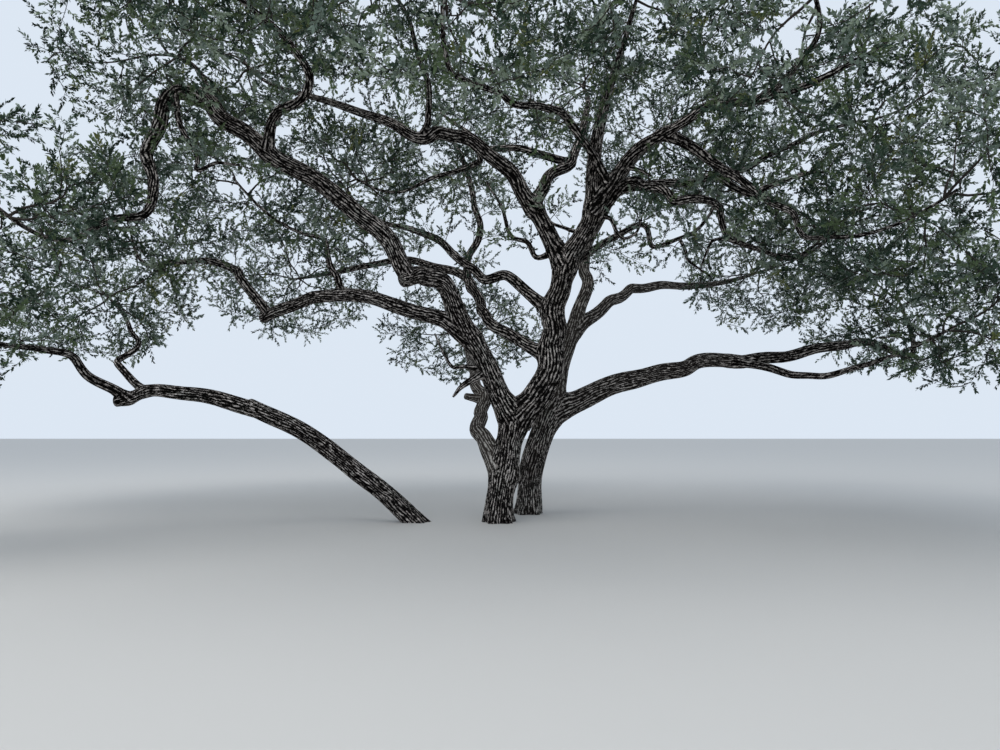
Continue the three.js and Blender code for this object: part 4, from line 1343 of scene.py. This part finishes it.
def leaf_corners(roots, runs, lengths, keys):
    """Four corners for each leaf of each shoot, in rows."""
    share = FIRST_LEAF + (1 - FIRST_LEAF) * (np.arange(LEAVES_PER_SHOOT) + 1) / LEAVES_PER_SHOOT
    at = roots[:, None] + runs[:, None] * (share * lengths[:, None])[..., None]
    heading = runs[:, None]
    aside = unit(np.cross(heading, LEAF_ASIDE))
    over = np.cross(heading, aside)
    leaf = keys[:, None] * LEAVES_PER_SHOOT + np.arange(LEAVES_PER_SHOOT)
    turn = (np.arange(LEAVES_PER_SHOOT) * GOLDEN_ANGLE
            + 2 * np.pi * chance(leaf, ASK["leaf_turn"]))
    slant = np.radians(between(LEAF_SLANT, share))
    slant = slant + LEAF_STRAY * spread(leaf, ASK["leaf_slant"])
    side = aside * np.cos(turn)[..., None] + over * np.sin(turn)[..., None]
    run = unit(heading * np.cos(slant)[..., None] + side * np.sin(slant)[..., None])
    tilt = np.stack([spread(leaf, ASK["leaf_tilt"] + axis) for axis in range(3)], axis=-1)
    face = tilt + np.array([0, 0, FACE_UP])
    face = unit(face - run * (face * run).sum(axis=-1, keepdims=True))
    wide = np.cross(run, face)
    size = SMALLEST_LEAF + LARGER_LEAVES * chance(leaf, ASK["leaf_size"])
    length = (LEAF_LENGTH * size)[..., None]
    half = length * LEAF_WIDTH / 2
    broad = at + run * length * WIDEST + face * LEAF_FOLD * half
    corners = [at, broad + wide * half, at + run * length, broad - wide * half]
    return np.stack(corners, axis=2).reshape(-1, 4, 3)


def leaf_faces(count):
    """Two faces for each leaf, which share its midrib."""
    first = np.arange(count)[:, None, None] * 4
    return (first + np.array([[0, 1, 2], [0, 2, 3]])).reshape(-1, 3)


print("faces of two leaves:", leaf_faces(2).tolist())

# %% [markdown]
# ## Twig and leaf colours
# Leaves of one spray mostly share one green, as they share one age and one light. So the
# greens are plain colours, dealt out by spray, and each is its own material. Seen
# together they mix to the dull grey-green of live oak. Some greens carry painted light:
# the deep green is partly painted shade for the dark inside of the crown, the pale green
# partly the pale undersides and partly painted highlight, and several greens lean to blue
# as a painted reflection of the sky. Twigs are a plain grey brown.

# %% Greens and twig bark
# The deep green is partly painted shade, the pale green partly painted highlight, and several
# greens lean to blue as a painted reflection of the sky.
GREENS = {
    "leaf_olive": (0.09, 0.132, 0.062),
    "leaf_grey": (0.155, 0.205, 0.165),
    "leaf_deep_and_shaded": (0.014, 0.032, 0.018),
    "leaf_pale_and_lit": (0.26, 0.32, 0.24),
    "leaf_yellow": (0.15, 0.175, 0.06),
    "leaf_dull": (0.042, 0.074, 0.048),
}
GREEN_SHARES = [0.24, 0.22, 0.19, 0.12, 0.03, 0.2]
LEAF_ROUGHNESS = 0.4
LEAF_SHINE = 0.17
LEAF_MATERIALS = [new_material(name, LEAF_ROUGHNESS, colour, LEAF_SHINE)[0]
                  for name, colour in GREENS.items()]
TWIG_MATERIAL = new_material("twig", 0.95, (0.04, 0.034, 0.03), 0.1)[0]
SPRAY_ROWS = 6  # shoots next to each other on a twig that mostly share one green
OWN_GREEN = 0.3  # share of the shoots that have a green of their own


def deal_greens(keys):
    """For each shoot the number of its green: one for its spray, now and then its own."""
    own = chance(keys, ASK["own_green"]) < OWN_GREEN
    of_spray = chance(keys // SPRAY_ROWS, ASK["spray_green"])
    draw = np.where(own, chance(keys, ASK["shoot_green"]), of_spray)
    return np.searchsorted(np.cumsum(GREEN_SHARES)[:-1], draw)


print("greens of ten shoots:", deal_greens(np.arange(10)))

# %% [markdown]
# ## Twigs as thin spikes
# Every twig is a spike of a few flat sides that ends in a point. All twigs of one kind
# have the same number of rings, so that one call makes them all.

# %% Spikes from arrays
SPIKES = [  # of branches, of side sprays and of filling twigs
    dict(root_radius=0.021, rings=10, sides=5),
    dict(root_radius=0.0115, rings=6, sides=4),
    dict(root_radius=0.0085, rings=6, sides=4),
]
TIP_RADIUS = 0.0035
SHOOT_RADIUS = 0.0034
SHOOT_SIDES = 3
STEEP_SPIKE = 0.8


def spikes(places, radii, sides):
    """Corners, four-cornered and three-cornered faces of spikes of the same make."""
    count, rings = places.shape[:2]
    headings = unit(np.gradient(places, axis=1))
    run = unit(places[:, -1] - places[:, 0])
    aside = np.where(np.abs(run[:, 2:]) > STEEP_SPIKE, [[1.0, 0, 0]], [[0, 0, 1.0]])
    across = unit(np.cross(headings, aside[:, None]))
    over = np.cross(headings, across)
    turns = 2 * np.pi * np.arange(sides) / sides
    outward = (across[:, :, None] * np.cos(turns)[:, None]
               + over[:, :, None] * np.sin(turns)[:, None])
    skin = places[:, :-1, None] + outward[:, :-1] * radii[:, :-1, None, None]
    corners = np.concatenate([skin.reshape(count, -1, 3), places[:, -1:]], axis=1)
    size = corners.shape[1]
    first = np.arange(count)[:, None, None] * size
    body = (first + tube_faces(rings - 1, sides)[None]).reshape(-1, 4)
    last = (rings - 2) * sides
    turn = np.arange(sides)
    point = np.full(sides, size - 1)
    tip = np.stack([last + turn, last + (turn + 1) % sides, point], axis=-1)
    return corners.reshape(-1, 3), body, (first + tip[None]).reshape(-1, 3)


def twig_spikes(lines, root_radius, rings, sides):
    """Spikes along lines, from the root radius to the tip's."""
    shares = np.linspace(0, 1, rings)
    places = np.stack([line.at(shares) for line in lines])
    radii = root_radius + (TIP_RADIUS - root_radius) * shares
    return spikes(places, np.broadcast_to(radii, places.shape[:2]), sides)


def shoot_spikes(roots, runs, lengths):
    places = np.stack([roots, roots + runs * lengths[:, None]], axis=1)
    return spikes(places, np.full(places.shape[:2], SHOOT_RADIUS), SHOOT_SIDES)


print("corners of one spike:", len(spikes(np.eye(3)[None], np.ones((1, 3)), 3)[0]))

# %% [markdown]
# ## The crown, part by part
# Leaves and twigs of one part of the crown are joined, each kind apart. Each joined mesh
# takes the place of the plain masses of its part.

# %% The crown
def join(parts):
    """One set of places and faces from several, with the faces' numbers moved on."""
    places, faces, first = [], [], 0
    for part in parts:
        places.append(part[0])
        faces.append([face + first for face in part[1:]])
        first += len(part[0])
    return np.concatenate(places), [face for group in faces for face in group]


def place_piece(made, nodes):
    if nodes:
        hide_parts(*nodes)
    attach(made, "root")
    return made


def make_twigs(part, numbers):
    spiked = []
    for kind, make in enumerate(SPIKES):
        lines = [line for number in numbers for line in wood_lines[number][kind]]
        if lines:
            spiked.append(twig_spikes(lines, **make))
    roots, runs, lengths = (np.concatenate([shoots[number][row] for number in numbers])
                            for row in range(3))
    places, faces = join([*spiked, shoot_spikes(roots, runs, lengths)])
    return mesh_object("twigs_" + part, places, faces, [TWIG_MATERIAL])


def make_leaves(part, numbers):
    roots, runs, lengths, keys = (np.concatenate([shoots[number][row] for number in numbers])
                                  for row in range(4))
    corners = leaf_corners(roots, runs, lengths, keys)
    tints = np.repeat(deal_greens(keys), LEAVES_PER_SHOOT)
    kept = in_box(corners).all(axis=1)
    corners, tints = corners[kept], np.repeat(tints[kept], 2)
    faces = leaf_faces(len(corners))
    return mesh_object("leaves_" + part, corners.reshape(-1, 3), [faces], LEAF_MATERIALS, tints)


parts = {mass["part"]: [] for mass in MASSES}
for number, mass in enumerate(MASSES):
    parts[mass["part"]].append(number)
parts["boughs"] = [len(MASSES)]  # the sprouts
crown = []
for part, numbers in parts.items():
    nodes = ["foliage_" + mass["name"] for mass in MASSES if mass["part"] == part]
    twigs = place_piece(make_twigs(part, numbers), nodes)
    leaves = place_piece(make_leaves(part, numbers), nodes)
    crown += [twigs, leaves]
    print(part + ":", triangle_count(twigs), "of twigs,", triangle_count(leaves), "of leaves")
print("triangles of the crown:", sum(triangle_count(made) for made in crown))

# %% [markdown]
# ## Floor, light and camera
# The tree stands on a plain pale floor under a wide soft light, like an overcast noon. A
# second, weaker light comes from the viewer's side, so that the trunks are not left in
# the crown's shade. The camera stands where a person would, looking slightly up.

# %% Floor, light and camera
FLOOR_REACH = 120
FLOOR_COLOUR = (0.55, 0.54, 0.52)
SKY_COLOUR = (0.72, 0.8, 0.9)
LIGHTS = {
    "noon": dict(place=(-6, -8, 24), aim=(0, 0, 4), size=16, power=3000,
                 colour=(1, 0.97, 0.92)),
    "fill": dict(place=(-4, -24, 9.5), aim=(0, 0, 3.5), size=10, power=520,
                 colour=(0.95, 0.97, 1)),
}
EYE = (0, -12.7, 1.6)
HORIZON_BELOW_MIDDLE = 55  # in pixels of the photograph
FOCAL_LENGTH = 720  # in the same pixels
PHOTOGRAPH_WIDTH = 1000
SENSOR = 36


def soft_light(name, place, aim, size, power, colour):
    light = bpy.data.lights.new(name, "AREA")
    light.size = size
    light.energy = power
    light.color = colour
    lamp = bpy.data.objects.new(name, light)
    bpy.context.collection.objects.link(lamp)
    lamp.location = place
    lamp.rotation_euler = (Vector(aim) - Vector(place)).to_track_quat("-Z", "Y").to_euler()


def make_floor():
    reach = FLOOR_REACH
    corners = np.array([[-reach, -reach, 0], [reach, -reach, 0], [reach, reach, 0],
                        [-reach, reach, 0]], float)
    material = new_material("floor", 0.95, FLOOR_COLOUR)[0]
    floor = mesh_object("floor", corners, [np.array([[0, 1, 2, 3]])], [material])


def make_sky():
    world = bpy.data.worlds.new("sky")
    world.use_nodes = True
    sky = world.node_tree.nodes["Background"]
    sky.inputs["Color"].default_value = (*SKY_COLOUR, 1)
    sky.inputs["Strength"].default_value = 1
    bpy.context.scene.world = world
    bpy.context.scene.view_settings.view_transform = "Standard"


def make_camera():
    lens = bpy.data.cameras.new("camera")
    lens.sensor_width = SENSOR
    lens.lens = SENSOR * FOCAL_LENGTH / PHOTOGRAPH_WIDTH
    camera = bpy.data.objects.new("camera", lens)
    bpy.context.collection.objects.link(camera)
    camera.location = EYE
    look_up = math.atan(HORIZON_BELOW_MIDDLE / FOCAL_LENGTH)
    camera.rotation_euler = (math.pi / 2 + look_up, 0, 0)
    bpy.context.scene.camera = camera


make_floor()
make_sky()
make_camera()
for name, light in LIGHTS.items():
    soft_light(name, **light)
print("camera at", EYE)
